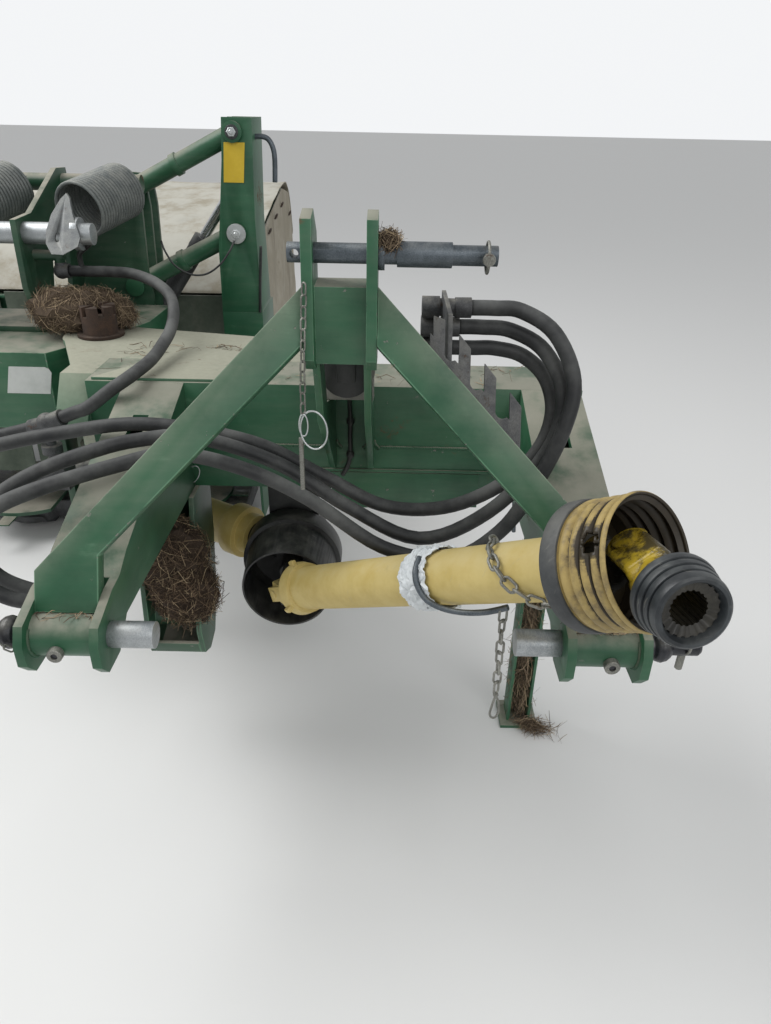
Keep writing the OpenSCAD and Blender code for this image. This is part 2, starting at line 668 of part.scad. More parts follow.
// Pivots of the parallel links, and the planes of the three plates that hold them: the links
// lie between the first two, the lift cylinder between the last two
slope_vec = [cos(link_slope), 0, sin(link_slope)];
link_y = 1170;
link_half = 30;
plate_t = 12;
mid_plate_y = link_y + link_half + gap;
lift_half = 24;
lift_y = mid_plate_y + plate_t + gap + lift_half;
clevis_y = [link_y - link_half - gap - plate_t, mid_plate_y, lift_y + lift_half + gap];
clevis_back = clevis_y[2] + plate_t;
low_boom = [-581, link_y, 839];
pivot_rise = [6, 0, 222];
up_boom = low_boom + pivot_rise;
low_post = low_boom + link_len * slope_vec;
up_post = up_boom + link_len * slope_vec;
lift_base = [-600, lift_y, 700];
lift_eye = [low_post.x + 4, lift_y, low_post.z + 128];
lift_dir = unit(lift_eye - lift_base);
lift_pin_d = 24;

// Pin through the first two plates, with a washer and head in front
module link_pin(p) {
    y_bar(clevis_y[0] - 3, clevis_y[1] + plate_t - clevis_y[0], p.x, p.z, link_pin_d);
    y_bar(clevis_y[0] - 9, 9 - gap, p.x, p.z, link_pin_d + 16);
}
// Pin through the last two plates, with its head at the back
module lift_pin(p) {
    y_bar(clevis_y[1], clevis_back - clevis_y[1] + 3, p.x, p.z, lift_pin_d);
    y_bar(clevis_back + gap, 5, p.x, p.z, lift_pin_d + 14);
}
module link_bores(points) {
    for (p = points)
        y_bar(clevis_y[0] - 1, clevis_y[1] + plate_t - clevis_y[0] + 2, p.x, p.z, link_pin_d + 2 * run);
}
module lift_bore(p) {
    y_bar(clevis_y[1] - 1, clevis_back - clevis_y[1] + 2, p.x, p.z, lift_pin_d + 2 * run);
}

// Boom that swings on the kingpin
boom_front = kingpin_y - 85;
boom_low = beam_bottom + 18 + gap;
boom_top = beam_bottom + beam_h - top_plate_t - gap;
boom_left = -860;
module boom_box() color(green) at_hitch() {
    difference() {
        union() {
            z_bar(boom_low, boom_top - boom_low, -kingpin_x, kingpin_y, 120);
            flat_plate(boom_low + 4, boom_top - boom_low - 8)
                polygon([[-kingpin_x - 4, kingpin_y + 59], [-kingpin_x - 90, boom_front],
                         [boom_left, boom_front], [boom_left, 1010], [-720, clevis_y[0]],
                         [-500, clevis_y[0]], [-505, 960]]);
        }
        z_bar(boom_low - 1, boom_top - boom_low + 2, -kingpin_x, kingpin_y, kingpin_d + 2 * run);
        flat_plate(boom_low + 12, boom_top - boom_low - 24)
            polygon([[-640, 860], [boom_left + 8, boom_front + 10], [boom_left + 8, 1006],
                     [-716, clevis_y[0] - 10], [-510, clevis_y[0] - 10], [-516, 960]]);
    }
}

spring_near = [-606, 892, 1043];
spring_vec = [55, 150, 30];
spring_gap_x = 250;
shaft_y = 844;
shaft_z = 1005;
shaft_d = 44;
shaft_x = [-1000, -560];
cross_y = 1088;
cross_z = 1083;
cross_tube_d = 38;
upright_x = [-990, -715];
tower_low = boom_low + 4;
deck_z = boom_top - 4;
module boom_tower() color(dark_green) at_hitch() {
    difference() {
        // Plates for the links and the lift cylinder
        for (y = clevis_y)
            front_plate(y, plate_t)
                polygon([[-712, tower_low], [-545, tower_low], [low_boom.x + 42, low_boom.z - 20],
                         [low_boom.x + 36, low_boom.z + 30], [up_boom.x + 34, up_boom.z - 40],
                         [up_boom.x + 28, up_boom.z + 30], [up_boom.x - 30, up_boom.z + 34],
                         [-720, 900]]);
        link_bores([low_boom, up_boom]);
        lift_bore(lift_base);
    }
    // Web that joins the plates at their outer edge
    side_plate(-712, plate_t)
        polygon([[clevis_y[0], tower_low], [clevis_back, tower_low], [clevis_back, 890],
                 [clevis_y[0], 890]]);
    // Uprights for the spring shaft and the cross tube
    for (x = upright_x)
        side_plate(x, plate_t) difference() {
            polygon([[850, deck_z], [1100, deck_z], [1128, 900], [cross_y + 30, cross_z - 10],
                     [cross_y + 24, cross_z + 30], [cross_y - 30, cross_z + 32],
                     [shaft_y + 44, shaft_z + 34], [shaft_y - 34, shaft_z + 30], [shaft_y - 38, 900]]);
            polygon([[930, 860], [1040, 860], [1060, 970], [960, 950]]);
            translate([shaft_y, shaft_z]) circle(d = shaft_d + 2 * run);
            translate([cross_y, cross_z]) circle(d = cross_tube_d - 4);
        }
    // Deck under the uprights
    translate([upright_x[0], 850, deck_z]) cube([upright_x[1] + plate_t - upright_x[0], 160, 12]);
    // Hose fitting on the right upright
    x_bar(upright_x[1] + 4, tee_at.x + 11 - upright_x[1] - 4, tee_at.y, tee_at.z + 32, 22);
    z_bar(tee_at.z + 18, 14, tee_at.x, tee_at.y, 22);
    // Cross tube for the far ends of the springs
    x_bar(upright_x[0], -520 - upright_x[0], cross_y, cross_z, cross_tube_d);
}

module spring_shaft() color(steel) at_hitch() {
    x_bar(shaft_x[0], shaft_x[1] - shaft_x[0], shaft_y, shaft_z, shaft_d);
    x_bar(-598, 14, shaft_y, shaft_z, 66);
}

// Spring drawn as its scalloped outside, with an eye plate at each end
module spring(dx) color(steel) at_hitch() translate([dx, 0, 0]) {
    near = spring_near;
    far = spring_near + spring_vec;
    body = norm(spring_vec);
    r_in = spring_d / 2 - spring_wire;
    pitch = body / spring_coils;
    along(near, far) {
        rotate_extrude(convexity = 8)
            polygon(concat(
                [[r_in, 0]],
                [for (i = [0:spring_coils - 1], k = [0:4])
                    [spring_d / 2 - spring_wire * [0.3, 0.06, 0, 0.06, 0.3][k],
                     (i + (k + 0.5) / 5) * pitch]],
                [[r_in, body]]));
        for (z = [8, body - 18])
            translate([-26, -r_in - 1, z]) cube([52, 2 * r_in + 2, 10]);
    }
    // Eye plates on the shaft and on the cross tube
    spring_eye(near + 0.08 * spring_vec, [near.x - 14, shaft_y, shaft_z], shaft_d);
    spring_eye(far - 0.08 * spring_vec, [far.x + 10, cross_y, cross_z], cross_tube_d);
}
// Flat eye on a bar along x, with a strap to the plate in the spring's end
module spring_eye(from, to, d) {
    difference() {
        union() {
            x_bar(to.x - 8, 16, to.y, to.z, d + 26);
            along(to, from) translate([-22, -8, 0]) cube([44, 16, norm(from - to)]);
        }
        x_bar(to.x - 60, 120, to.y, to.z, d + 2 * run);
    }
}
module spring_right() spring(0);
module spring_left() spring(-spring_gap_x);

// Lower half of the swivel gearbox, which turns with the boom, with its output stub
out_z = 356;
out_a = [-kingpin_x - 10, kingpin_y + 130, out_z];
out_b = [-596, 1196, 418];
out_dir = unit(out_b - out_a);
inner_guard_d = 60;
joint_ball_d = 50;
module swing_gearbox() color(dark_green) at_hitch() {
    top = gearbox_z - 45 - gap;
    z_bar(top - 90, 90, -kingpin_x, kingpin_y, 160);
    difference() {
        bar([-kingpin_x, kingpin_y, out_z], out_a - [0, 8, 0], 70);
        translate(out_a) sphere(d = joint_ball_d + 2 * gap);
    }
    // Strap that ties the gearbox to the boom above
    translate([-kingpin_x - 120, kingpin_y - 30, top - 70]) cube([60, 60, 24]);
    translate([-kingpin_x - 126, kingpin_y - 30, top - 70]) cube([16, 60, boom_low + 4 - gap - top + 70]);
}

// Telescoping shaft from the swing gearbox to the mower's gearbox
module output_shaft() color(yellow) at_hitch() {
    difference() {
        bar(out_a + 22 * out_dir, out_a + 215 * out_dir, inner_guard_d + 20);
        bar(out_a + 40 * out_dir, out_a + 216 * out_dir, inner_guard_d + 2 * run);
    }
    bar(out_a + 8 * out_dir, out_a + 24 * out_dir, 40);
    translate(out_a) sphere(d = joint_ball_d);
}
module output_shaft_inner() color(yellow) at_hitch() {
    bar(out_b - 4 * out_dir, out_b - 240 * out_dir, inner_guard_d);
}

module link_tube(a, b) {
    v = unit(b - a);
    difference() {
        union() {
            bar(a + 20 * v, b - 20 * v, link_d);
            for (p = [a, b]) y_bar(link_y - link_half, 2 * link_half, p.x, p.z, link_pin_d + 26);
        }
        for (p = [a, b]) y_bar(link_y - 40, 80, p.x, p.z, link_pin_d + 2 * run);
    }
    bar(a + 0.42 * (b - a), a + 0.47 * (b - a), link_d + 8);
}
module lower_link() color(green) at_hitch() {
    link_tube(low_boom, low_post);
    link_pin(low_boom);
}
module upper_link() color(green) at_hitch() {
    link_tube(up_boom, up_post);
    link_pin(up_boom);
}

// Lift cylinder between the boom's plates and the post
lift_barrel_len = 300;
module lift_barrel() color(black) at_hitch() {
    difference() {
        union() {
            bar(lift_base + 20 * lift_dir, lift_base + lift_barrel_len * lift_dir, lift_barrel_d - 14);
            bar(lift_base + (lift_barrel_len - 34) * lift_dir, lift_base + lift_barrel_len * lift_dir, 48);
            y_bar(lift_y - lift_half, 2 * lift_half, lift_base.x, lift_base.z, 46);
        }
        y_bar(lift_y - 40, 80, lift_base.x, lift_base.z, lift_pin_d + 2 * run);
        bar(lift_base + 60 * lift_dir, lift_eye, lift_rod_d - 6 + 2 * run);
    }
    lift_pin(lift_base);
}
lift_eye_bore = lift_pin_d + 14;
module lift_rod() color(steel) at_hitch() {
    difference() {
        union() {
            bar(lift_base + 90 * lift_dir, lift_eye - 10 * lift_dir, lift_rod_d - 6);
            y_bar(lift_y - lift_half + 2, 2 * lift_half - 4, lift_eye.x, lift_eye.z, lift_eye_bore + 14);
        }
        y_bar(lift_y - 40, 80, lift_eye.x, lift_eye.z, lift_eye_bore);
    }
}

mower_left = -mower_in - mower_w;
bar_z0 = 30;
bar_top = 90;

// Post that the parallel links carry
post_base = 780;
post_half = 51;
module mower_post() color(green) at_hitch() {
    difference() {
        union() {
            for (y = clevis_y)
                front_plate(y, plate_t)
                    polygon([[low_post.x - post_half, post_base], [low_post.x + post_half, post_base],
                             [low_post.x + 46, 1000], [up_post.x + 46, up_post.z + 30],
                             [up_post.x - 24, up_post.z + 30], [up_post.x - 30, up_post.z - 60],
                             [low_post.x - 48, low_post.z - 40]]);
            // Web on the inner side
            front_plate(clevis_y[0], clevis_back - clevis_y[0])
                polygon([[low_post.x + post_half - 8, post_base], [low_post.x + post_half, post_base],
                         [low_post.x + 46, 1000], [up_post.x + 46, up_post.z + 30],
                         [up_post.x + 38, up_post.z + 30], [low_post.x + 38, 1000]]);
            translate([low_post.x - post_half, clevis_y[0], post_base])
                cube([2 * post_half, clevis_back - clevis_y[0], 10]);
        }
        link_bores([low_post, up_post]);
        lift_bore(lift_eye);
    }
    for (p = [low_post, up_post]) link_pin(p);
    lift_pin(lift_eye);
}

// Canopy outline along the machine, from front to back: its outside, and its inside
canopy_out = [[1290, 792], [1320, 820], [1500, 920], [2000, 1010], [2180, 980], [2260, 850], [2262, 812]];
canopy_in = [[1292, 787], [1322, 814], [1503, 914], [2000, 1003], [2176, 974], [2254, 848], [2256, 812]];

frame_x = [mower_left + 60, -mower_in - 12 - side_t];
tube_y = 1310;
hinge_d = 14;
hinge_y = 1284 + cloth_t + gap + hinge_d / 2;
hinge_z = 770;
module mower_frame() color(green) at_hitch() {
    for (x = frame_x)
        side_plate(x, side_t)
            polygon(concat([[1330, 62], [1312, 300], [1304, 700], [1304, 790]],
                           [for (i = [1:4]) canopy_in[i] - [0, 2 * gap]],
                           [[2190, 800], [2160, 300], [2050, 110], [1700, 62]]));
    // Cross tubes between the side frames
    for (p = [[tube_y, 660, 110, 100], [1560, 720, 100, 100], [2080, 800, 60, 60]])
        box_section([frame_x[0], p[0], p[1]], [frame_x[1] + side_t - frame_x[0], p[2], p[3]], 6);
    // Ribs under the canopy
    frame_w = frame_x[1] - frame_x[0];
    for (k = [1:3])
        side_plate(frame_x[0] + k * frame_w / 4, 6)
            polygon([[1560, 818], [1640, 818], [2100, 858], [2130, 858], [2000, 1002 - gap],
                     [1503, 912 - gap], [1400, 855 - gap], [1400, 758], [1420, 758]]);
    // Hinge rod of the front guard on small lugs
    x_bar(frame_x[0], frame_x[1] + side_t - frame_x[0], hinge_y, hinge_z, hinge_d);
    for (i = [0:5])
        side_plate(frame_x[0] + 60 + i * (frame_w - 250) / 5, 8)
            polygon([[hinge_y - 4, hinge_z - 4], [hinge_y - 4, hinge_z + 5], [tube_y + 20, 772],
                     [tube_y + 20, 758], [tube_y + 1, 740]]);
    // Carrier under the post
    translate([low_post.x - post_half, clevis_y[0], 664])
        cube([2 * post_half, tube_y + 2 - clevis_y[0], post_base - gap - 664]);
}

module mower_gearbox() color(dark_green) at_hitch() {
    translate([-720, 1310, 330]) cube([180, 170, 330 - gap]);
    y_bar(out_b.y + 36, 1312 - out_b.y - 36, out_b.x, out_b.z, 84);
    z_bar(disc_top + gap, 340 - disc_top, first_disc_x, disc_y, 84);
}

// Canopy: a thin shell over the frame, closed at its outer end above the folding guard
fold_z = 800;
fold_d = 12;
fold_x = mower_left - gap - fold_d / 2;
fold_lugs = [1330, 1770, 2210];
module canopy() color(canvas) at_hitch() {
    side_plate(mower_left, mower_w)
        polygon(concat(canopy_out, [for (i = [6:-1:0]) canopy_in[i]]));
    side_plate(mower_left, cloth_t)
        polygon(concat([[1302, fold_z - 4]], [for (i = [1:5]) canopy_in[i] + [0, 1]], [[2254, fold_z - 4]]));
    for (y = fold_lugs)
        front_plate(y, 10) difference() {
            translate([fold_x - 12, fold_z - 12]) square([mower_left + 1 - fold_x + 12, 24]);
            translate([fold_x, fold_z]) circle(d = fold_d + 2 * run);
        }
}

curtain_low = 240;
module inner_curtain() color(canvas) at_hitch()
    side_plate(-mower_in - cloth_t, cloth_t)
        polygon(concat([[1328, curtain_low + 20], [1328, 806]],
                       [for (i = [2:4]) canopy_in[i] - [3, 2]],
                       [[2246, 846], [2246, curtain_low + 20], [1700, curtain_low - 20]]));

module front_apron() color(curtain) at_hitch() {
    difference() {
        translate([-1000, 1284, curtain_low]) cube([1000 - mower_in - cloth_t - 1, cloth_t, 545]);
        translate([low_post.x - post_half - gap, 1280, 664 - gap])
            cube([2 * post_half + 2 * gap, 20, post_base]);
        y_bar(1280, 20, out_b.x, out_b.z, 84 + 2 * gap);
    }
}

// Hinged front guard over the outer part of the unit
module front_guard() color(curtain) at_hitch() {
    left = mower_left + 30;
    right = -1016;
    translate([left, 1284, curtain_low]) cube([right - left, cloth_t, hinge_z - curtain_low]);
    for (i = [0:4])
        side_plate(left + 120 + i * (right - left - 332) / 4, 8) difference() {
            union() {
                translate([1284, hinge_z - 30]) square([cloth_t, 30]);
                translate([hinge_y, hinge_z]) circle(d = 24);
            }
            translate([hinge_y, hinge_z]) circle(d = hinge_d + 2 * run);
        }
}

module outer_guard() color(canvas) at_hitch() {
    y_bar(fold_lugs[0] - 6, fold_lugs[2] - fold_lugs[0] + 22, fold_x, fold_z, fold_d);
    difference() {
        side_plate(fold_x - cloth_t / 2, cloth_t)
            polygon([[1300, curtain_low], [1300, fold_z], [2250, fold_z], [2240, curtain_low]]);
        for (y = fold_lugs)
            translate([fold_x - 20, y - 6, fold_z - 22]) cube([40, 22, 24]);
    }
}

// Cutter bar: flat housing with a rounded nose before each disc
first_disc_x = -650;
disc_top = bar_top + 48;
module cutter_bar() color(steel) at_hitch() {
    flat_plate(bar_z0, bar_top - bar_z0) union() {
        translate([mower_left + 80, disc_y - 60]) square([mower_w - 160, 230]);
        for (i = [0:disc_count - 1])
            translate([first_disc_x - i * disc_pitch, disc_y - 20]) circle(r = 92);
    }
    // Skids under each disc
    for (i = [0:disc_count - 1])
        side_plate(first_disc_x - i * disc_pitch - 60, 120)
            polygon([[disc_y - 120, 60], [disc_y - 100, 30], [disc_y - 40, 0], [disc_y + 190, 0],
                     [disc_y + 200, 10], [disc_y + 170, 31], [disc_y - 80, 31]]);
}

// Cutting disc: oval domed body, raised cap and two free blades
module disc(i) color(dark_green) at_hitch()
    translate([first_disc_x - i * disc_pitch, disc_y, 0]) rotate([0, 0, 90 * (i % 2)]) {
        difference() {
            union() {
                translate([0, 0, bar_top + gap]) cylinder(d = 120, h = 30);
                translate([0, 0, bar_top + 14]) linear_extrude(12) intersection() {
                    circle(d = disc_len);
                    square([disc_len, disc_w], center = true);
                }
                translate([0, 0, bar_top + 26]) cylinder(d1 = disc_w - 30, d2 = 130, h = 22);
            }
            translate([0, 0, bar_top - 1]) cylinder(d = 40, h = 20);
        }
        for (s = [0, 180]) rotate([0, 0, s]) {
            translate([disc_len / 2 - 34, -20, bar_top + 9]) cube([blade_r - disc_len / 2 + 33, 40, 5]);
            translate([disc_len / 2 - 20, 0, bar_top + 6]) cylinder(d = 22, h = 10);
        }
    }
module disc_1() disc(0);
module disc_2() disc(1);
module disc_3() disc(2);
module disc_4() disc(3);
module disc_5() disc(4);
module disc_6() disc(5);

// Conditioner rotor: drum with rows of bent tines
rotor_x0 = frame_x[0] + side_t + 30;
rotor_len = frame_x[1] - frame_x[0] - side_t - 60;
module tine_rotor() color(steel) at_hitch() {
    x_bar(rotor_x0, rotor_len, rotor_y, rotor_z, drum_d);
    x_bar(rotor_x0 - 30 + gap, rotor_len + 60 - 2 * gap, rotor_y, rotor_z, 50);
    cols = 22;
    for (i = [0:cols - 1], k = [0:1])
        translate([rotor_x0 + 60 + (rotor_len - 120) * i / (cols - 1), rotor_y, rotor_z])
            rotate([45 * (i % 4) + 180 * k, 0, 0])
                side_plate(-6, 12)
                    polygon([[-18, drum_d / 2 - 12], [-26, tine_r - 60], [-44, tine_r - 4],
                             [-28, tine_r - 4], [0, tine_r - 90], [28, tine_r - 4],
                             [44, tine_r - 4], [26, tine_r - 60], [18, drum_d / 2 - 12]]);
}

// Curved sheet over the rotor
module rotor_cover() color(green) at_hitch() {
    r = tine_r + 26;
    x0 = frame_x[0] + side_t + gap;
    len = frame_x[1] - gap - x0;
    intersection() {
        difference() {
            x_bar(x0, len, rotor_y, rotor_z, 2 * r + 10);
            x_bar(x0 - 1, len + 2, rotor_y, rotor_z, 2 * r);
        }
        side_plate(x0, len)
            polygon([[rotor_y, rotor_z], [rotor_y - 500, rotor_z + 60], [rotor_y - 400, rotor_z + 500],
                     [rotor_y + 400, rotor_z + 500], [rotor_y + 240, rotor_z + 240]]);
    }
}

module swath_boards() color(green) at_hitch() {
    board_z = 330;
    board_h = 470 - gap;
    for (s = [0, 1])
        translate([s * (2 * mower_left + mower_w), 0, 0]) mirror([s, 0, 0])
            flat_plate(board_z, board_h)
                polygon([[-mower_in - 300, 2096], [-mower_in - 380, 2180], [-mower_in - 520, 2250],
                         [-mower_in - 516, 2256], [-mower_in - 374, 2186], [-mower_in - 294, 2100]]);
}

headstock_beam();
headstock_top_plate();
mast();
mast_leg_left();
mast_leg_right();
hitch_arm_left();
hitch_arm_right();
lower_pin_left();
lower_pin_right();
top_link_pin();
hose_rack();
canister();
kingpin();
trough_bracket();
input_bell();
cross_shaft_guard();
swivel_gearbox();
stand_bracket();
hose_a();
hose_b();
hose_c();
hose_d();
hose_tee();
hose_fittings();
stand_leg();
pto_tube();
pto_funnel();
pto_yoke();
boom_box();
boom_tower();
spring_shaft();
spring_right();
spring_left();
swing_gearbox();
lower_link();
upper_link();
lift_barrel();
lift_rod();
output_shaft();
output_shaft_inner();
mower_post();
mower_frame();
mower_gearbox();
canopy();
cutter_bar();
disc_1();
disc_2();
disc_3();
disc_4();
disc_5();
disc_6();
tine_rotor();
rotor_cover();
swath_boards();
front_apron();
inner_curtain();
outer_guard();
front_guard();
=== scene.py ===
import json
import math
import random

import bmesh
import bpy
from mathutils import Matrix, Vector, noise

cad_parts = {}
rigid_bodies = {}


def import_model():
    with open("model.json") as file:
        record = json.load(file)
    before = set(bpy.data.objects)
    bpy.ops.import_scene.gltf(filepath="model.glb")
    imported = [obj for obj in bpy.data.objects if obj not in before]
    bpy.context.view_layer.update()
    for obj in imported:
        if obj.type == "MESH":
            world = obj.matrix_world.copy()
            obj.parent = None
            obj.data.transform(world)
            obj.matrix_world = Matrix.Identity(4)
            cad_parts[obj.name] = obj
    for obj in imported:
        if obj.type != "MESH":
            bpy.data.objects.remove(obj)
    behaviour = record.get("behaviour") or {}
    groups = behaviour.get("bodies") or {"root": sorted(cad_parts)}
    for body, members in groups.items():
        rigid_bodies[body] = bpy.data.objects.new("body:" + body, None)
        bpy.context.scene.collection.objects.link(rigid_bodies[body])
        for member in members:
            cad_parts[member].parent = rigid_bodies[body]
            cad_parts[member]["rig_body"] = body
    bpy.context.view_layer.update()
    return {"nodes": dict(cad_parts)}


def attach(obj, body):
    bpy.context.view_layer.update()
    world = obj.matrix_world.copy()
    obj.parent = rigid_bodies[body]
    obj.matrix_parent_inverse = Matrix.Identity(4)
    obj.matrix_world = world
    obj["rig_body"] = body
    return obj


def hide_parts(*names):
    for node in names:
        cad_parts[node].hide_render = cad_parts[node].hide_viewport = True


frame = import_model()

# The machine is measured from its hitch in millimetres: x to the right, y backwards, z up.
# These two lines turn such a place into the part's own frame in metres.
MM = 0.001
HITCH = Vector((1.4, -0.995, 0.0))


def at(x, y, z):
    """A place of the hitch's layout, in the part's frame."""
    return HITCH + Vector((x, y, z)) * MM


def places(*points):
    """Several places of the hitch's layout."""
    return [at(*p) for p in points]


# The view: a person stands before the hitch and holds the camera low over the drive shaft,
# tipped down by nearly thirty degrees and a little out of level.
EYE = at(64, -800, 1250)
LENS = 26.2
TIP_DOWN = 28.5
ROLL = 1.2


def shown(name, data):
    """A new object with its data, put into the scene."""
    made = bpy.data.objects.new(name, data)
    bpy.context.scene.collection.objects.link(made)
    return made


camera = bpy.data.cameras.new("view")
camera.lens = LENS
viewer = shown("view", camera)
viewer.matrix_world = (Matrix.Translation(EYE) @ Matrix.Rotation(math.radians(90 - TIP_DOWN), 4, "X")
                       @ Matrix.Rotation(math.radians(ROLL), 4, "Z"))
bpy.context.scene.camera = viewer
bpy.context.scene.view_settings.view_transform = "Standard"


# The floor is one plain pale sheet, and with it comes what every finish below is made with:
# sockets that can be added and multiplied, and a material with its usual patterns.
class Socket:
    """An output of a material's node. Arithmetic on it adds Math nodes."""

    def __init__(self, finish, link):
        self.finish = finish
        self.link = link

    def math(self, operation, *values):
        return self.finish.node("ShaderNodeMath", {"operation": operation}, dict(enumerate(values)))

    def __add__(self, other):
        return self.math("ADD", self, other)

    def __sub__(self, other):
        return self.math("SUBTRACT", self, other)

    def __rsub__(self, other):
        return self.math("SUBTRACT", other, self)

    def __mul__(self, other):
        return self.math("MULTIPLY", self, other)

    __radd__ = __add__
    __rmul__ = __mul__

    def most(self, other):
        return self.math("MAXIMUM", self, other)


class Finish:
    """A material whose looks are worked out from its nodes."""

    def __init__(self, name, **constants):
        self.material = bpy.data.materials.new(name)
        self.material.use_nodes = True
        self.tree = self.material.node_tree
        self.shader = self.tree.nodes["Principled BSDF"]
        self.place = self.node("ShaderNodeTexCoord", out="Object")
        for key, value in constants.items():
            self.put(self.shader.inputs[key.replace("_", " ")], value)

    def put(self, socket, value):
        if isinstance(value, Socket):
            self.tree.links.new(value.link, socket)
        elif isinstance(value, tuple) and len(value) == 3 and socket.type == "RGBA":
            socket.default_value = (*value, 1)
        else:
            socket.default_value = value

    def node(self, kind, settings=None, values=None, out=0):
        made = self.tree.nodes.new(kind)
        for key, value in (settings or {}).items():
            setattr(made, key, value)
        for key, value in (values or {}).items():
            self.put(made.inputs[key], value)
        return Socket(self, made.outputs[out])

    def set(self, **values):
        for key, value in values.items():
            self.put(self.shader.inputs[key.replace("_", " ")], value)
        return self

    def cloud(self, scale, detail=3, roughness=0.55, where=None):
        values = {"Vector": where or self.place, "Scale": scale, "Detail": detail,
                  "Roughness": roughness}
        return self.node("ShaderNodeTexNoise", None, values)

    def stretched(self, x, y, z):
        values = {"Vector": self.place, "Scale": (x, y, z)}
        return self.node("ShaderNodeMapping", None, values)

    def step(self, value, low, high, share=1.0):
        values = {"Value": value, "From Min": low, "From Max": high, "To Max": share}
        return self.node("ShaderNodeMapRange", {"interpolation_type": "SMOOTHSTEP"}, values)

    def mix(self, first, second, share):
        values = {0: share, 6: first, 7: second}
        return self.node("ShaderNodeMix", {"data_type": "RGBA"}, values, 2)

    def upward(self, low, high):
        normal = self.node("ShaderNodeTexCoord", out="Normal")
        z = self.node("ShaderNodeSeparateXYZ", None, {0: normal}, "Z")
        return self.step(z, low, high)

    def mark(self, name):
        return self.node("ShaderNodeAttribute", {"attribute_name": name}, out="Fac")

    def bump(self, height, distance, strength=1.0):
        values = {"Height": height, "Distance": distance, "Strength": strength}
        self.set(Normal=self.node("ShaderNodeBump", None, values))
        return self


FLOOR_COLOUR = (0.70, 0.70, 0.69)
FLOOR_WIDE = 90
bpy.ops.object.select_all(action="DESELECT")
bpy.ops.mesh.primitive_grid_add(x_subdivisions=8, y_subdivisions=8, size=FLOOR_WIDE)
floor = bpy.context.object
floor.name = "floor"
floor.data.materials.append(Finish("pale floor", Base_Color=(*FLOOR_COLOUR, 1), Roughness=0.9).material)


# The light is an overcast sky with one broad lamp behind the left shoulder. The sky that the
# camera and the reflections see is paler than the one that lights.
SKY_LIGHT = 0.62
SKY_SEEN = 0.93
world = bpy.data.worlds.new("sky")
bpy.context.scene.world = world
world.use_nodes = True
sky = world.node_tree
path = sky.nodes.new("ShaderNodeLightPath")
seen = sky.nodes.new("ShaderNodeMath")
seen.operation = "MAXIMUM"
sky.links.new(path.outputs["Is Camera Ray"], seen.inputs[0])
sky.links.new(path.outputs["Is Transmission Ray"], seen.inputs[1])
level = sky.nodes.new("ShaderNodeMapRange")
level.inputs["To Min"].default_value = SKY_LIGHT
level.inputs["To Max"].default_value = SKY_SEEN
sky.links.new(seen.outputs[0], level.inputs["Value"])
sky.nodes["Background"].inputs["Color"].default_value = (0.97, 0.985, 1.0, 1)
sky.links.new(level.outputs[0], sky.nodes["Background"].inputs["Strength"])
for name, place, aim, size, power in (
        ("key lamp", at(-2600, 900, 3600), at(-100, 200, 600), 2.6, 130),
        ("front lamp", at(1500, -2600, 3200), at(-200, 400, 600), 3.0, 60)):
    lamp = bpy.data.lights.new(name, "AREA")
    lamp.size = size
    lamp.energy = power
    lit = shown(name, lamp)
    lit.location = place
    lit.rotation_mode = "QUATERNION"
    lit.rotation_quaternion = (aim - place).to_track_quat("-Z", "Y")


# Hydraulic hoses: black rubber over wire, 23 mm thick, clipped together as three in front of the
# beam and one above it to the boom. Each lies in its couplers at both ends.
def only(*objects):
    """Selects these alone."""
    bpy.ops.object.select_all(action="DESELECT")
    for one in objects:
        one.select_set(True)
    bpy.context.view_layer.objects.active = objects[0]


def smooth(points, steps):
    """A smooth line through the points."""
    line = []
    last = len(points) - 1
    for i in range(last):
        a, b, c, d = (points[k] for k in (max(i - 1, 0), i, i + 1, min(i + 2, last)))
        for k in range(steps):
            t = k / steps
            line.append(0.5 * (2 * b + (c - a) * t + (2 * a - 5 * b + 4 * c - d) * t * t
                               + (3 * b - a - 3 * c + d) * t ** 3))
    return line + [points[-1]]


def tube(name, line, radius, sides=12, closed=False):
    """A round tube along a line, with u round it and v along it in metres."""
    count = len(line)
    radii = radius if isinstance(radius, (list, tuple)) else [radius] * count
    verts, lengths = [], [0.0]
    ahead = [(line[(i + 1) % count if closed else min(i + 1, count - 1)]
              - line[i - 1 if closed else max(i - 1, 0)]).normalized() for i in range(count)]
    side = ahead[0].orthogonal().normalized()
    for i in range(count):
        side = (side - ahead[i] * side.dot(ahead[i])).normalized()
        up = ahead[i].cross(side)
        for k in range(sides):
            turn = math.tau * k / sides
            verts.append(line[i] + radii[i] * (math.cos(turn) * side + math.sin(turn) * up))
        lengths.append(lengths[-1] + (line[(i + 1) % count] - line[i]).length)
    faces, uvs = [], []
    for i in range(count if closed else count - 1):
        j = (i + 1) % count
        for k in range(sides):
            m = (k + 1) % sides
            faces.append((i * sides + k, i * sides + m, j * sides + m, j * sides + k))
            u0, u1 = k / sides, (k + 1) / sides
            uvs += [(u0, lengths[i]), (u1, lengths[i]), (u1, lengths[i + 1]), (u0, lengths[i + 1])]
    if not closed:
        faces.append(tuple(reversed(range(sides))))
        faces.append(tuple((count - 1) * sides + k for k in range(sides)))
        uvs += [(0, 0)] * sides + [(0, lengths[count - 1])] * sides
    mesh = bpy.data.meshes.new(name)
    mesh.from_pydata(verts, [], faces)
    layer = mesh.uv_layers.new(name="along")
    for corner, uv in enumerate(uvs):
        layer.data[corner].uv = uv
    mesh.polygons.foreach_set("use_smooth", [len(f) == 4 for f in faces])
    return shown(name, mesh)


def give(piece, finish, body):
    """The piece gets its finish, and goes with a body."""
    piece.data.materials.clear()
    piece.data.materials.append(finish.material)
    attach(piece, body)
    return piece


def length(line):
    return sum((b - a).length for a, b in zip(line, line[1:]))


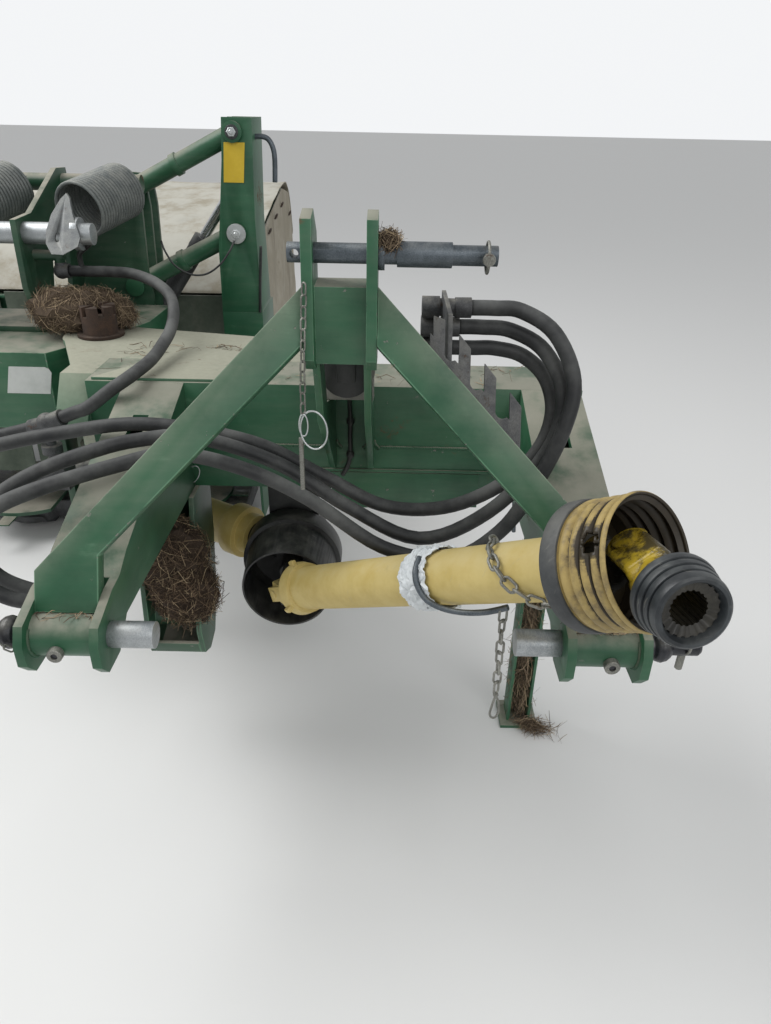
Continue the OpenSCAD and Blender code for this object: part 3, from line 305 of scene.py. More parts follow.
def laid(line):
    """Works out the length of a cord along its line; the length is not kept."""
    length(line)


DUST = (0.30, 0.285, 0.235)
HOSE_WIDE = 0.023


def hose_rubber():
    f = Finish("hose rubber", Specular_IOR_Level=0.4)
    grain = f.cloud(320, 2)
    dirt = f.cloud(9, 5, 0.65)
    top = f.upward(-0.1, 0.95)
    rub = f.step(f.cloud(22, 4), 0.55, 0.72)
    film = f.step(dirt, 0.35, 0.75, 0.30) + top * f.step(dirt, 0.25, 0.7, 0.24)
    colour = f.mix((0.013, 0.014, 0.015), (0.21, 0.215, 0.205), film)
    colour = f.mix(colour, (0.012, 0.012, 0.013), rub * 0.55)
    f.set(Base_Color=colour, Roughness=0.52 + film * 0.7 - rub * 0.12)
    return f.bump(grain * 0.4 + dirt, 0.0006)


rubber = hose_rubber()
ROUTES = {
    "hose_a": [(-576, 446, 731), (-608, 454, 720), (-650, 461, 707), (-704, 455, 695),
               (-748, 428, 689), (-770, 384, 690), (-760, 336, 700), (-720, 304, 716),
               (-660, 296, 735), (-590, 304, 752), (-480, 322, 772), (-330, 335, 788),
               (-160, 340, 758), (-40, 330, 702), (60, 306, 662), (160, 292, 668),
               (246, 286, 712), (302, 290, 772), (322, 304, 832), (309, 322, 883),
               (272, 334, 915), (228, 338, 925), (194, 338, 925), (160, 338, 925)],
    "hose_b": [(-424, 160, 572), (-454, 160, 573), (-492, 159, 580), (-530, 157, 603),
               (-550, 154, 645), (-545, 156, 690), (-515, 172, 730), (-466, 200, 758),
               (-400, 238, 776), (-330, 276, 784), (-240, 302, 780), (-110, 304, 735),
               (0, 290, 668), (120, 264, 624), (230, 258, 680), (312, 262, 785),
               (330, 280, 868), (300, 308, 930), (250, 330, 955), (205, 335, 958),
               (170, 335, 958)],
    "hose_c": [(-424, 110, 590), (-454, 107, 592), (-490, 104, 601), (-524, 103, 626),
               (-540, 105, 664), (-530, 112, 704), (-496, 126, 737), (-440, 150, 758),
               (-345, 204, 772), (-262, 246, 776), (-160, 262, 745), (-60, 262, 694),
               (60, 244, 618), (170, 226, 610), (245, 222, 664), (292, 226, 745),
               (328, 242, 830), (338, 262, 900), (308, 290, 962), (260, 316, 988),
               (222, 322, 990), (185, 322, 990)],
    "hose_d": [(-512, 434, 757), (-485, 429, 769), (-458, 424, 781), (-415, 430, 812),
               (-386, 458, 829), (-371, 530, 836), (-368, 601, 845), (-367, 660, 858),
               (-374, 719, 882), (-394, 766, 902), (-434, 806, 918), (-490, 848, 925),
               (-542, 866, 925), (-587, 866, 925), (-632, 866, 925)],
}
for node, route in ROUTES.items():
    line = smooth(places(*route), 6)
    hose = give(tube(node + "_rubber", line, HOSE_WIDE / 2, 20), rubber, "headstock")
    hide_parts(node)
    laid(line)


# Welded and painted steel: the beam, the A frame, the lower brackets, the boom and the links.
# Every plate keeps the form it has in the frame and gets rounded, worn edges; the paint is a
# satin green, chipped down to primer and rust, with dry dust on what faces up.
def applied(piece, kind, **settings):
    """Adds a modifier with its settings and applies it."""
    only(piece)
    added = piece.modifiers.new(kind.lower(), kind)
    for key, value in settings.items():
        setattr(added, key, value)
    bpy.ops.object.modifier_apply(modifier=added.name)
    return piece


def edges_marked(piece, width):
    """Rounds the piece's sharp edges and marks the new faces as worn."""
    data = piece.data
    data.materials.clear()
    data.materials.append(None)
    data.materials.append(None)
    applied(piece, "BEVEL", width=width, segments=2, limit_method="ANGLE",
            angle_limit=math.radians(32), material=1)
    worn = [float(face.material_index == 1) for face in data.polygons]
    data.attributes.new("worn", "FLOAT", "FACE").data.foreach_set("value", worn)
    data.polygons.foreach_set("material_index", [0] * len(worn))
    bpy.ops.object.shade_smooth_by_angle(angle=math.radians(38))


def dressed(node, finish, width=0.0016, keep=None):
    """The node's own form, or the part of it to keep, with rounded edges and a finish."""
    source = frame["nodes"][node]
    piece = shown(node + "_dressed", source.data.copy())
    only(piece)
    bpy.ops.object.mode_set(mode="EDIT")
    bpy.ops.mesh.select_all(action="SELECT")
    if piece.data.has_custom_normals:
        bpy.ops.mesh.customdata_custom_splitnormals_clear()
    bpy.ops.mesh.remove_doubles(threshold=0.00002)
    bpy.ops.mesh.dissolve_limited(angle_limit=math.radians(0.4))
    if keep:
        bpy.ops.mesh.select_all(action="DESELECT")
        shape = bmesh.from_edit_mesh(piece.data)
        for face in shape.faces:
            face.select = not keep(face.calc_center_median())
        bmesh.update_edit_mesh(piece.data)
        bpy.ops.mesh.delete(type="FACE")
    bpy.ops.object.mode_set(mode="OBJECT")
    edges_marked(piece, width)
    give(piece, finish, source["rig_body"])
    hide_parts(node)


def steel_paint(name, deep, bright, dust=1.0, wear=1.0, rust=1.0):
    f = Finish(name, Specular_IOR_Level=0.45)
    broad = f.cloud(2.6, 4, 0.6)
    mid = f.cloud(14, 6, 0.62)
    fine = f.cloud(130, 4, 0.6)
    drag = f.cloud(9, 4, 0.6, f.stretched(1, 1, 7))
    edge = f.mark("worn")
    colour = f.mix(deep, bright, f.step(broad * 0.6 + mid * 0.4, 0.38, 0.62))
    # Rubbed places show a pale, chalky green, edges most of all
    rubbed = (f.step(mid * 0.6 + drag * 0.4, 0.60, 0.69, 0.32)
              + edge * f.step(mid, 0.38, 0.56, 0.75)) * wear
    colour = f.mix(colour, (0.11, 0.24, 0.145), rubbed)
    chips = f.step(f.cloud(46, 7, 0.7), 0.655, 0.675) * f.step(broad, 0.46, 0.58)
    chips = (chips + edge * f.step(fine, 0.60, 0.66)) * wear
    colour = f.mix(colour, (0.20, 0.19, 0.17), f.step(chips, 0.2, 0.9, 0.85))
    brown = f.step(f.cloud(6.5, 8, 0.72), 0.625, 0.70) * f.step(fine, 0.35, 0.60) * rust
    colour = f.mix(colour, f.mix((0.055, 0.026, 0.014), (0.145, 0.068, 0.03), fine), brown * 0.9)
    lying = f.upward(0.25, 0.9) * f.step(mid * 0.6 + broad * 0.4, 0.32, 0.56) * 0.82
    film = f.step(drag * 0.5 + broad * 0.5, 0.42, 0.70, 0.10)
    powder = (lying + film) * dust
    colour = f.mix(colour, f.mix((0.20, 0.19, 0.15), DUST, mid), powder)
    f.set(Base_Color=colour, Roughness=0.42 + powder * 0.45 + brown * 0.4 + rubbed * 0.1)
    height = mid * 0.25 + fine * 0.10 + lying * 0.15 - chips * 0.25 + brown * 0.15
    return f.bump(height, 0.0012)


green = steel_paint("green paint", (0.012, 0.068, 0.031), (0.026, 0.108, 0.052))
for node in ("mast_leg_left", "mast_leg_right", "mast", "hitch_arm_left", "hitch_arm_right",
             "headstock_beam", "boom_box", "lower_link", "upper_link", "mower_post",
             "stand_bracket", "stand_leg", "mower_frame", "rotor_cover", "swath_boards"):
    dressed(node, green)
# A darker copy of the green paint, with more dust and rust and less wear, for the trough bracket, the
# boom's tower, the gearboxes and the discs: its darker green is painted shade.
shaded = steel_paint("dirty green paint with painted shade", (0.011, 0.045, 0.023), (0.020, 0.070, 0.036),
                     dust=1.25, wear=0.7, rust=1.5)
dressed("trough_bracket", shaded)
for node in ("boom_tower", "swivel_gearbox", "swing_gearbox", "mower_gearbox",
             *("disc_%d" % k for k in range(1, 7))):
    dressed(node, shaded)


# The headstock's top plate lies under a felt of dry dust, rubbed through to the green along
# its edges and where a boot has stood.
def dusted_plate():
    f = Finish("dusty plate", Specular_IOR_Level=0.3)
    broad = f.cloud(4.5, 6, 0.65)
    fine = f.cloud(85, 5, 0.65)
    edge = f.mark("worn")
    green_part = f.mix((0.04, 0.115, 0.065), (0.085, 0.19, 0.12), fine)
    cover = f.upward(0.35, 0.9) * f.step(broad * 0.75 + fine * 0.25, 0.24, 0.44, 0.95)
    cover = cover * (1 - edge * f.step(fine, 0.35, 0.6, 0.8))
    cover = cover.most(f.step(broad, 0.42, 0.75, 0.30))
    colour = f.mix(green_part, f.mix((0.25, 0.25, 0.195), (0.35, 0.34, 0.27), fine), cover)
    stains = f.step(f.cloud(11, 7, 0.7), 0.60, 0.72, 0.55)
    colour = f.mix(colour, (0.15, 0.105, 0.07), stains)
    f.set(Base_Color=colour, Roughness=0.55 + cover * 0.38)
    return f.bump(fine * 0.35 + cover * 0.3, 0.0012)


dressed("headstock_top_plate", dusted_plate())


# Bare and plated steel: the hitch pins, worn bright by the tractor's arms, the grey spring
# shaft, the cylinder's rod, and the dark scaly pieces, which are hot rolled and oiled.
def bare_steel(name, low, high, metallic, rough, rust=0.5, dust=0.5):
    f = Finish(name, Metallic=metallic)
    mid = f.cloud(30, 5, 0.65)
    fine = f.cloud(260, 3, 0.6)
    lines = f.cloud(40, 3, 0.6, f.stretched(18, 1, 18))
    edge = f.mark("worn")
    colour = f.mix(low, high, f.step(mid * 0.5 + lines * 0.5, 0.35, 0.68))
    colour = f.mix(colour, high, edge * 0.5)
    spots = f.step(f.cloud(24, 8, 0.75), 0.60, 0.68) * rust
    colour = f.mix(colour, (0.075, 0.036, 0.018), spots)
    powder = f.upward(0.2, 0.95) * f.step(mid, 0.35, 0.62, 0.45) * dust
    colour = f.mix(colour, DUST, powder)
    f.set(Base_Color=colour, Roughness=rough + fine * 0.12 + powder * 0.4 + spots * 0.3)
    return f.bump(fine * 0.5 + lines * 0.5 + spots, 0.0004)


galvanised = bare_steel("galvanised steel", (0.26, 0.28, 0.29), (0.46, 0.48, 0.49), 0.75, 0.36)
dark_steel = bare_steel("dark steel", (0.035, 0.036, 0.038), (0.095, 0.098, 0.10), 0.35, 0.48,
                        rust=0.8, dust=0.9)
blued = bare_steel("blued steel", (0.055, 0.068, 0.078), (0.13, 0.15, 0.17), 0.55, 0.38, 0.3, 0.4)
rusty = bare_steel("rusty iron", (0.030, 0.022, 0.018), (0.085, 0.052, 0.034), 0.15, 0.66, 1.0,
                   0.7)
nut_rust = bare_steel("nut rust", (0.020, 0.012, 0.008), (0.060, 0.031, 0.017), 0.05, 0.78, 1.3, 0.22)
chrome = bare_steel("rod chrome", (0.55, 0.56, 0.57), (0.68, 0.69, 0.70), 0.95, 0.14, 0.1, 0.25)
oiled = bare_steel("oiled black steel", (0.010, 0.011, 0.014), (0.030, 0.032, 0.038), 0.3, 0.24,
                   0.2, 0.5)
SMALL_EDGE = 0.0012
for side, node in ((-1, "lower_pin_left"), (1, "lower_pin_right")):
    middle = at(side * 360, 0, 0).x
    dressed(node, galvanised, SMALL_EDGE, lambda c: (c.x - middle) * side < 0)
    dressed(node, oiled, SMALL_EDGE, lambda c: (c.x - middle) * side >= 0)
for node, steel, slot in (
        ("spring_shaft", galvanised, "galvanised"), ("tine_rotor", galvanised, "galvanised"),
        ("top_link_pin", blued, "dark_steel"), ("hose_rack", dark_steel, "dark_steel"),
        ("hose_fittings", dark_steel, "dark_steel"), ("hose_tee", dark_steel, "dark_steel"),
        ("lift_barrel", dark_steel, "dark_steel"), ("cutter_bar", dark_steel, "dark_steel"),
        ("lift_rod", chrome, "galvanised"), ("kingpin", nut_rust, "rusty_iron")):
    dressed(node, steel, SMALL_EDGE)


# Moulded plastic: the black bell over the input, the canister with its black cap and dusty body,
# and the yellow guards of the shafts, faded, scuffed and smeared with black grease.
def plastic(name, low, high, rough, dust=1.0, grease=0.0):
    f = Finish(name, Specular_IOR_Level=0.42)
    broad = f.cloud(5, 5, 0.6)
    mid = f.cloud(28, 5, 0.65)
    fine = f.cloud(240, 3)
    edge = f.mark("worn")
    colour = f.mix(low, high, f.step(broad * 0.5 + mid * 0.5, 0.35, 0.65))
    colour = f.mix(colour, high, edge * 0.6)
    scuffs = f.step(f.cloud(30, 6, 0.7, f.stretched(1, 6, 1)), 0.60, 0.68, 0.35)
    colour = f.mix(colour, (0.30, 0.29, 0.25), scuffs * 0.5)
    powder = (f.upward(0.0, 1.0) * 0.3 + 0.10) * f.step(mid * 0.5 + broad * 0.5, 0.35, 0.66) * dust
    colour = f.mix(colour, DUST, powder)
    least = 0.66 - 0.26 * grease
    smear = f.step(f.cloud(11, 7, 0.66), least, least + 0.08) * min(1, grease * 4)
    colour = f.mix(colour, f.mix((0.012, 0.011, 0.009), (0.05, 0.042, 0.025), mid), smear * 0.93)
    f.set(Base_Color=colour, Roughness=rough + powder * 0.5 + scuffs * 0.2 - smear * 0.06)
    return f.bump(fine * 0.2 + mid * 0.4 + smear * 0.8, 0.0005)


black = plastic("black plastic", (0.008, 0.0085, 0.009), (0.018, 0.02, 0.021), 0.42, 0.55)
yellow = plastic("yellow plastic", (0.44, 0.33, 0.10), (0.56, 0.44, 0.155), 0.46, 0.8, 0.12)
dressed("input_bell", black)
cap_back = at(0, 333, 0).y
dressed("canister", black, keep=lambda c: c.y < cap_back)
dusty = plastic("dusty plastic", (0.13, 0.13, 0.12), (0.26, 0.255, 0.225), 0.55, 1.0)
dressed("canister", dusty, keep=lambda c: c.y >= cap_back)
GUARD_EDGE = 0.001
for node in ("cross_shaft_guard", "output_shaft", "output_shaft_inner"):
    dressed(node, yellow, GUARD_EDGE)


# The drive shaft's guard: a blow moulded funnel with four rings and a smooth rolled lip, its
# base in a broad black rubber band. Grease fills the grooves, blackens the inside and hides
# the edge of a hole torn through on the near side.
def along(a, b):
    """A frame at a whose z axis points to b."""
    way = (b - a).normalized()
    return (Matrix.Translation(a) @ Matrix.Rotation(math.atan2(way.y, way.x), 4, "Z")
            @ Matrix.Rotation(math.acos(way.z), 4, "Y"))


def tidy(piece, angle=35, turned_out=True):
    """Merges doubles, turns the faces outwards and smooths the shading under an angle."""
    only(piece)
    bpy.ops.object.mode_set(mode="EDIT")
    bpy.ops.mesh.select_all(action="SELECT")
    bpy.ops.mesh.remove_doubles(threshold=0.00003)
    if turned_out:
        bpy.ops.mesh.normals_make_consistent(inside=False)
    bpy.ops.object.mode_set(mode="OBJECT")
    bpy.ops.object.shade_smooth_by_angle(angle=math.radians(angle))
    return piece


def turned(name, profile, place, steps=72):
    """A turned piece: its profile, in millimetres from the axis and along it, goes round."""
    mesh = bpy.data.meshes.new(name)
    points = [(r * MM, 0, h * MM) for r, h in profile]
    mesh.from_pydata(points, [(i, i + 1) for i in range(len(points) - 1)], [])
    piece = applied(shown(name, mesh), "SCREW", steps=steps, render_steps=steps,
                    use_merge_vertices=True, merge_threshold=0.00001)
    piece.data.transform(place)
    return tidy(piece)


SHAFT_FOOT = at(-122, 375, 440)
SHAFT_END = at(343, -136, 837)
SHAFT_LONG = (SHAFT_END - SHAFT_FOOT).length / MM
on_shaft = along(SHAFT_FOOT, SHAFT_END)
FUNNEL_LONG = 85
BAND_TOP = 21
RING_PITCH = 13.75
LIP_FOOT = 76
funnel_root = SHAFT_LONG - FUNNEL_LONG


def funnel_radius(h):
    """The funnel's outer radius at a height over its root: base, rings, then the lip."""
    if h < BAND_TOP:
        return 72.4
    if h > LIP_FOOT:
        return 70.6 + 5.2 * max(0, 1 - ((h - 80.8) / 5) ** 2) ** 0.5
    ring = (h - BAND_TOP) % RING_PITCH / RING_PITCH
    return 69.6 + 4.9 * math.sin(math.pi * ring) ** 0.7


outside = [(41.2, -12), (48, -12), (50, -2), (70, 0)]
outside += [(funnel_radius(x * 0.9), x * 0.9) for x in range(1, 95)]
funnel = turned("guard_funnel", [(r, funnel_root + h) for r, h in outside], on_shaft, 140)
back = on_shaft.inverted()
TEAR_TURN = math.radians(-127)
TEAR_HEIGHT = 62
TEAR_HALF_TURN = 0.15
TEAR_HALF_HEIGHT = 10.5


def from_tear(spot):
    """How far a place is from the tear's middle, about 1 at the edge of the tear."""
    turn = (math.atan2(spot.y, spot.x) - TEAR_TURN + math.pi) % math.tau - math.pi
    height = spot.z / MM - funnel_root - TEAR_HEIGHT
    return math.hypot(turn / TEAR_HALF_TURN, height / TEAR_HALF_HEIGHT)


shape = bmesh.new()
shape.from_mesh(funnel.data)
torn = []
for face in shape.faces:
    spot = back @ face.calc_center_median()
    if from_tear(spot) < 1 + 0.45 * noise.noise(spot * 190):
        torn.append(face)
bmesh.ops.delete(shape, geom=torn, context="FACES")
shape.to_mesh(funnel.data)
shape.free()
applied(funnel, "SOLIDIFY", thickness=0.0038, offset=-1)
greased, inside = [], []
for face in funnel.data.polygons:
    spot = back @ face.center
    h = spot.z / MM - funnel_root
    out = (back.to_3x3() @ face.normal).dot(Vector((spot.x, spot.y, 0)).normalized())
    inside.append(float(out < -0.05 and h < 84))
    deep = min(1, max(0, (73.6 - funnel_radius(h)) / 3))
    upper = 0.6 + 0.4 * math.cos(math.atan2(spot.y, spot.x) - TEAR_TURN)
    near = math.exp(-((h - 60) / 16) ** 2)
    greased.append(deep * upper * (0.25 + near) + max(0, 1.7 - 0.5 * from_tear(spot)) * 0.6
                   if h < 78 else 0.0)
funnel.data.attributes.new("greased", "FLOAT", "FACE").data.foreach_set("value", greased)
funnel.data.attributes.new("inside", "FLOAT", "FACE").data.foreach_set("value", inside)


def guard_yellow():
    f = Finish("greasy guard yellow", Specular_IOR_Level=0.4)
    broad = f.cloud(9, 5, 0.6)
    mid = f.cloud(40, 6, 0.68)
    fine = f.cloud(260, 3)
    colour = f.mix((0.27, 0.195, 0.066), (0.42, 0.315, 0.115), f.step(broad, 0.35, 0.65))
    colour = f.mix(colour, (0.21, 0.16, 0.085), f.step(mid, 0.48, 0.68, 0.7))
    film = f.step(mid * 0.5 + broad * 0.5, 0.44, 0.60, 0.5)
    colour = f.mix(colour, (0.075, 0.055, 0.03), film)
    grease = f.step(f.mark("greased") * 0.85 + mid * 0.7 + broad * 0.3, 0.80, 0.98)
    grease = grease.most(f.mark("inside"))
    black_grease = f.mix((0.009, 0.0075, 0.0055), (0.032, 0.023, 0.014), f.step(mid, 0.35, 0.7))
    colour = f.mix(colour, black_grease, grease * 0.96)
    f.set(Base_Color=colour, Roughness=0.50 + fine * 0.12 - grease * 0.10)
    return f.bump(fine * 0.15 + mid * 0.3 + grease * 0.8, 0.0006)


give(funnel, guard_yellow(), "drive_shaft")
BAND = [(72.6, -3), (74.6, -2.6), (75.8, 0), (76.2, 9), (75.9, 17), (75, 20), (73, 20.6),
        (72.6, 20), (72.6, -3)]
band = turned("funnel_band", [(r, funnel_root + h) for r, h in BAND], on_shaft, 96)
band_black = plastic("band rubber", (0.014, 0.016, 0.018), (0.037, 0.043, 0.05), 0.5, 0.8, 0.05)
give(band, band_black, "drive_shaft")
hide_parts("pto_funnel")


# The yoke is forged, with two ears round the cross and a heavy shoulder, painted yellow under
# black grease. A ribbed black sleeve over its mouth slides to free the tractor's stub.
YOKE_TURN = math.radians(-67)
YOKE_DROOP = math.radians(39.5)
CROSS_BACK = 14
on_yoke = (on_shaft @ Matrix.Translation((0, 0, (SHAFT_LONG - CROSS_BACK) * MM))
           @ Matrix.Rotation(YOKE_TURN, 4, "Z") @ Matrix.Rotation(YOKE_DROOP, 4, "Y"))


def block(name, size, place, bevel, segments):
    """A block of steel, its size and middle in millimetres in a frame, with rounded edges."""
    bpy.ops.object.select_all(action="DESELECT")
    bpy.ops.mesh.primitive_cube_add(size=1)
    piece = bpy.context.object
    piece.name = piece.data.name = name
    piece.data.transform(Matrix.Diagonal((*(s * MM for s in size), 1)))
    applied(piece, "BEVEL", width=bevel * MM, segments=segments)
    piece.data.transform(place)
    return piece


QUARTER = math.pi / 2


def shift(x, y, z, turn=0, axis="X"):
    """A move in millimetres, after a turn on the spot."""
    return Matrix.Translation(Vector((x, y, z)) * MM) @ Matrix.Rotation(turn, 4, axis)


def joined(name, pieces):
    """Several solids as one piece."""
    only(*pieces)
    bpy.ops.object.join()
    pieces[0].name = pieces[0].data.name = name
    return pieces[0]


ears = []
for side in (-1, 1):
    ear = turned("ear", [(0, 0), (20, 0), (23.5, 3), (23.5, 10), (20, 13), (0, 13)],
                 on_yoke @ shift(0, side * 25 - 6.5, 0, -QUARTER), 40)
    cup = turned("cup", [(0, 0), (13, 0), (14, 1), (14, 4), (11, 5), (0, 5)],
                 on_yoke @ shift(0, side * 30.5, 0, -side * QUARTER), 32)
    cheek = block("cheek", (46, 13, 50), on_yoke @ shift(0, side * 25, 25), 5, 3)
    ears += [ear, cup, cheek]
shoulder = turned("shoulder", [(0, 34), (22, 34), (27, 38), (29.5, 46), (31.5, 60), (33.4, 78),
                               (34, 84), (19, 84), (19, 46), (0, 46)], on_yoke, 48)
web = block("web", (48, 60, 22), on_yoke @ shift(0, 0, 46), 8, 4)
yoke = joined("yoke_forging", ears + [shoulder, web])
yoke_paint = plastic("greasy yoke yellow", (0.27, 0.185, 0.012), (0.42, 0.30, 0.022), 0.30, 0.05,
                     0.60)
give(yoke, yoke_paint, "shaft_yoke")
sleeve = [(34, 77.5), (42, 77.5), (43.4, 79)]
for k in range(3):
    h = 80 + k * 9.6
    r = 43.4 - 2.0 * k
    sleeve += [(r, h), (r + 0.4, h + 4), (r - 0.6, h + 8), (r - 3.0, h + 8.4), (r - 3.0, h + 9.2)]
sleeve += [(37.8, 109.2), (38.2, 116), (36.8, 120.6), (34.4, 122.4), (31.4, 121.8), (29.6, 119),
           (28.6, 112), (28.4, 90), (34, 88), (34, 77.5)]
collar = turned("yoke_sleeve", sleeve, on_yoke, 96)
sleeve_black = plastic("sleeve rubber", (0.012, 0.0145, 0.017), (0.042, 0.052, 0.06), 0.38, 0.45, 0.1)
give(collar, sleeve_black, "shaft_yoke")
grease_black = plastic("old grease", (0.008, 0.0075, 0.006), (0.045, 0.04, 0.028), 0.38, 0.1, 0.3)
# The bore has splines for the tractor's stub, and a greasy face round its mouth
SPOKES = 180
verts = []
for grow, h in ((1, 50), (1, 110), (1.56, 113)):
    for k in range(SPOKES):
        turn = math.tau * k / SPOKES
        radius = (18.6 if math.sin(turn * 21) > 0 else 17.6) * MM * grow
        verts.append((radius * math.cos(turn), radius * math.sin(turn), h * MM))
faces = []
for k in range(SPOKES):
    m = (k + 1) % SPOKES
    faces += [(a + k, a + SPOKES + k, a + SPOKES + m, a + m) for a in (0, SPOKES)]
mesh = bpy.data.meshes.new("yoke_bore")
mesh.from_pydata(verts, [], faces)
mesh.transform(on_yoke)
bore = shown("yoke_bore", mesh)
tidy(bore, 25)
give(bore, grease_black, "shaft_yoke")
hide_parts("pto_yoke")
# The guard tube is yellow up to the funnel's root, and its end inside is black
inner_end = (funnel_root + 4) * MM
dressed("pto_tube", yellow, GUARD_EDGE, lambda c: (back @ c).z < inner_end)
dressed("pto_tube", grease_black, GUARD_EDGE, lambda c: (back @ c).z >= inner_end)


# What hangs on the guard tube: white tape wound round it, a grey bail below, the chain that
# keeps the guard from turning, another that hangs with its spring hook, and the flange's tabs.
TUBE_RADIUS = 41


def on_tube(s, turn, lift):
    """A place on the guard tube: along it, round it (180 is its top), and out from its skin."""
    a = math.radians(turn)
    r = TUBE_RADIUS + lift
    return on_shaft @ (Vector((r * math.cos(a), r * math.sin(a), s)) * MM)


def skin(name, rows, thick, cut=None):
    """A thin sheet through rows of points, cut out where asked."""
    wide = len(rows[0])
    mesh = bpy.data.meshes.new(name)
    faces = []
    for r in range(len(rows) - 1):
        for c in range(wide - 1):
            k = r * wide + c
            if not (cut and cut((rows[r][c] + rows[r + 1][c + 1]) / 2)):
                faces.append((k, k + 1, k + 1 + wide, k + wide))
    mesh.from_pydata([p for row in rows for p in row], [], faces)
    return tidy(applied(shown(name, mesh), "SOLIDIFY", thickness=thick, offset=0), 50)


def links(name, line, body, long, wide, wire):
    """A chain: links along a line, each turned a quarter from the one before."""
    bow, flat = wide / 2 - wire, (long - wide) / 2
    ring = []
    for t in range(20):
        a = math.tau * (t + 0.5) / 20
        end = math.copysign(flat, math.sin(a))
        ring.append(Vector((bow * math.cos(a), 0, bow * math.sin(a) + end)) * MM)
    model = tube(name, ring, wire * MM, 8, True)
    stops = [line[0]]
    for p in smooth(line, 20):
        if (p - stops[-1]).length >= (long - 4 * wire) * MM:
            stops.append(p)
    made = []
    for k, (a, b) in enumerate(zip(stops, stops[1:])):
        turn = math.radians(45 + 90 * (k % 2) + 9 * math.sin(k * 2.3))
        link = shown(name, model.data.copy())
        link.data.transform(along((a + b) / 2, b) @ Matrix.Rotation(turn, 4, "Z"))
        made.append(link)
    bpy.data.objects.remove(model)
    give(joined(name, made), zinc, body)


zinc = bare_steel("worn zinc", (0.13, 0.13, 0.115), (0.30, 0.30, 0.27), 0.6, 0.40, 0.8, 0.5)
TAPE_START = 416
TAPE_WIDE = 56
rows = []
for i in range(33):
    row = []
    for k in range(121):
        turn = 3 * k
        a = math.radians(turn)
        where = Vector((math.cos(a) * 3, math.sin(a) * 3, i * 0.32))
        crumple = abs(noise.noise(where * 1.5)) * 11 + abs(noise.noise(where * 4.2)) * 4
        rim = where.xy.to_3d() * 1.4 + Vector((0, 0, i // 17))
        ragged = noise.noise(rim) * (11 if i > 16 else 6.6)
        row.append(on_tube(TAPE_START + TAPE_WIDE * i / 32 + ragged, turn, 0.8 + crumple * 0.75))
    rows.append(row)
tape_white = Finish("white tape", Specular_IOR_Level=0.5)
creases = tape_white.cloud(150, 6, 0.7)
soil = tape_white.cloud(26, 6, 0.7)
tape_white.set(Base_Color=tape_white.mix((0.62, 0.65, 0.66), (0.26, 0.24, 0.20),
                                         tape_white.step(soil, 0.55, 0.74, 0.7)),
               Roughness=0.34 + soil * 0.2)
tape_white.bump(creases, 0.0012)
give(skin("guard_tape", rows, 0.0007), tape_white, "drive_shaft")
BAIL = [(454, -150, 4), (457, -122, 6), (461, -97, 7), (469, -72, 8), (484, -50, 8), (508, -32, 9),
        (535, -19, 9), (556, -12, 7), (572, -4, 5)]
bail = smooth([on_tube(*p) for p in BAIL], 6)
give(tube("guard_bail", bail, 0.0042, 12), blued, "drive_shaft")
KEEPER = [(574, -196, 3), (584, -170, 4), (599, -141, 5), (615, -113, 5), (633, -85, 5),
          (652, -58, 5), (672, -36, 5), (694, -20, 5)]
links("guard_chain", [on_tube(*p) for p in KEEPER], "drive_shaft", 26, 16, 2.0)
hung_from = on_tube(566, -8, 8)
drop = [hung_from + Vector((0.3 * k, 0.4 * math.sin(k), -16.5 * k)) * MM for k in range(10)]
links("hanging_chain", drop, "drive_shaft", 24, 13, 1.7)
low = drop[-1] + Vector((0, 0, 0.005))
hook_eye = turned("hook_eye", [(0, -4), (3, -3), (4.2, 0), (3, 3), (0, 4)], Matrix.Translation(low), 16)
give(hook_eye, zinc, "drive_shaft")
HOOK = [(0, 0, -3), (3.5, 1, -9), (6, 1.5, -20), (6.5, 1, -33), (3.5, 0, -41), (0, 0, -43),
        (-3.5, 0, -41), (-5.5, -1, -33), (-4, -1.5, -20), (-2, -1, -9), (0, 0, -3)]
hook = smooth([low + Vector(p) * MM for p in HOOK], 3)[:-1]
give(tube("spring_hook", hook, 0.0017, 8, True), zinc, "drive_shaft")
tabs = []
for turn in (-172, -62, 60):
    on_flange = on_shaft @ Matrix.Rotation(math.radians(turn), 4, "Z")
    tabs.append(block("tab", (12, 9, 15), on_flange @ shift(50, 0, 71), 2, 2))
give(joined("flange_tabs", tabs), yellow, "drive_shaft")


# Linch pins with their spring rings hold the hitch pins. A fine chain from the mast keeps a
# bright ring and a flat pin, and a short one hangs at the left knob.
def placed(x, y, z, turn=0, axis="X"):
    """A place of the hitch's layout, with a turn on the spot."""
    return Matrix.Translation(HITCH) @ shift(x, y, z, turn, axis)


def rod(name, a, b, radius, sides=20):
    """A short round bar from a to b with its ends eased."""
    ease = 0.8
    long = (b - a).length / MM
    profile = [(0, 0), (radius - ease, 0), (radius, ease), (radius, long - ease),
               (radius - ease, long), (0, long)]
    return turned(name, profile, along(a, b), sides)


def linch(name, head, way, long, lean=0.0):
    """A linch pin from its head, with its ring sprung over to the far side."""
    way = Vector(way).normalized()
    pin = rod("pin", head, head + way * long * MM, 5.2)
    knob = turned("knob", [(0, -6), (7.2, -5), (8.2, -1), (7.2, 3), (0, 4)], along(head, head + way), 20)
    over = way.cross(way.cross(Vector((0, 1, lean))).normalized())
    ring = []
    for t in range(32):
        a = math.tau * t / 32
        ring.append(head + (way * (17 - 19 * math.cos(a)) + over * 19 * math.sin(a)) * MM)
    spring = tube("spring", ring, 0.0019, 8, True)
    give(joined(name, [pin, knob, spring]), zinc, "headstock")


def wire_ring(name, middle, across, up, wire):
    """A round or oval ring of bright wire, from its middle and its two half axes."""
    ring = []
    for t in range(32):
        a = math.tau * t / 32
        ring.append(at(*middle) + (Vector(across) * math.cos(a) + Vector(up) * math.sin(a)) * MM)
    give(tube(name, ring, wire * MM, 8, True), bright, "headstock")


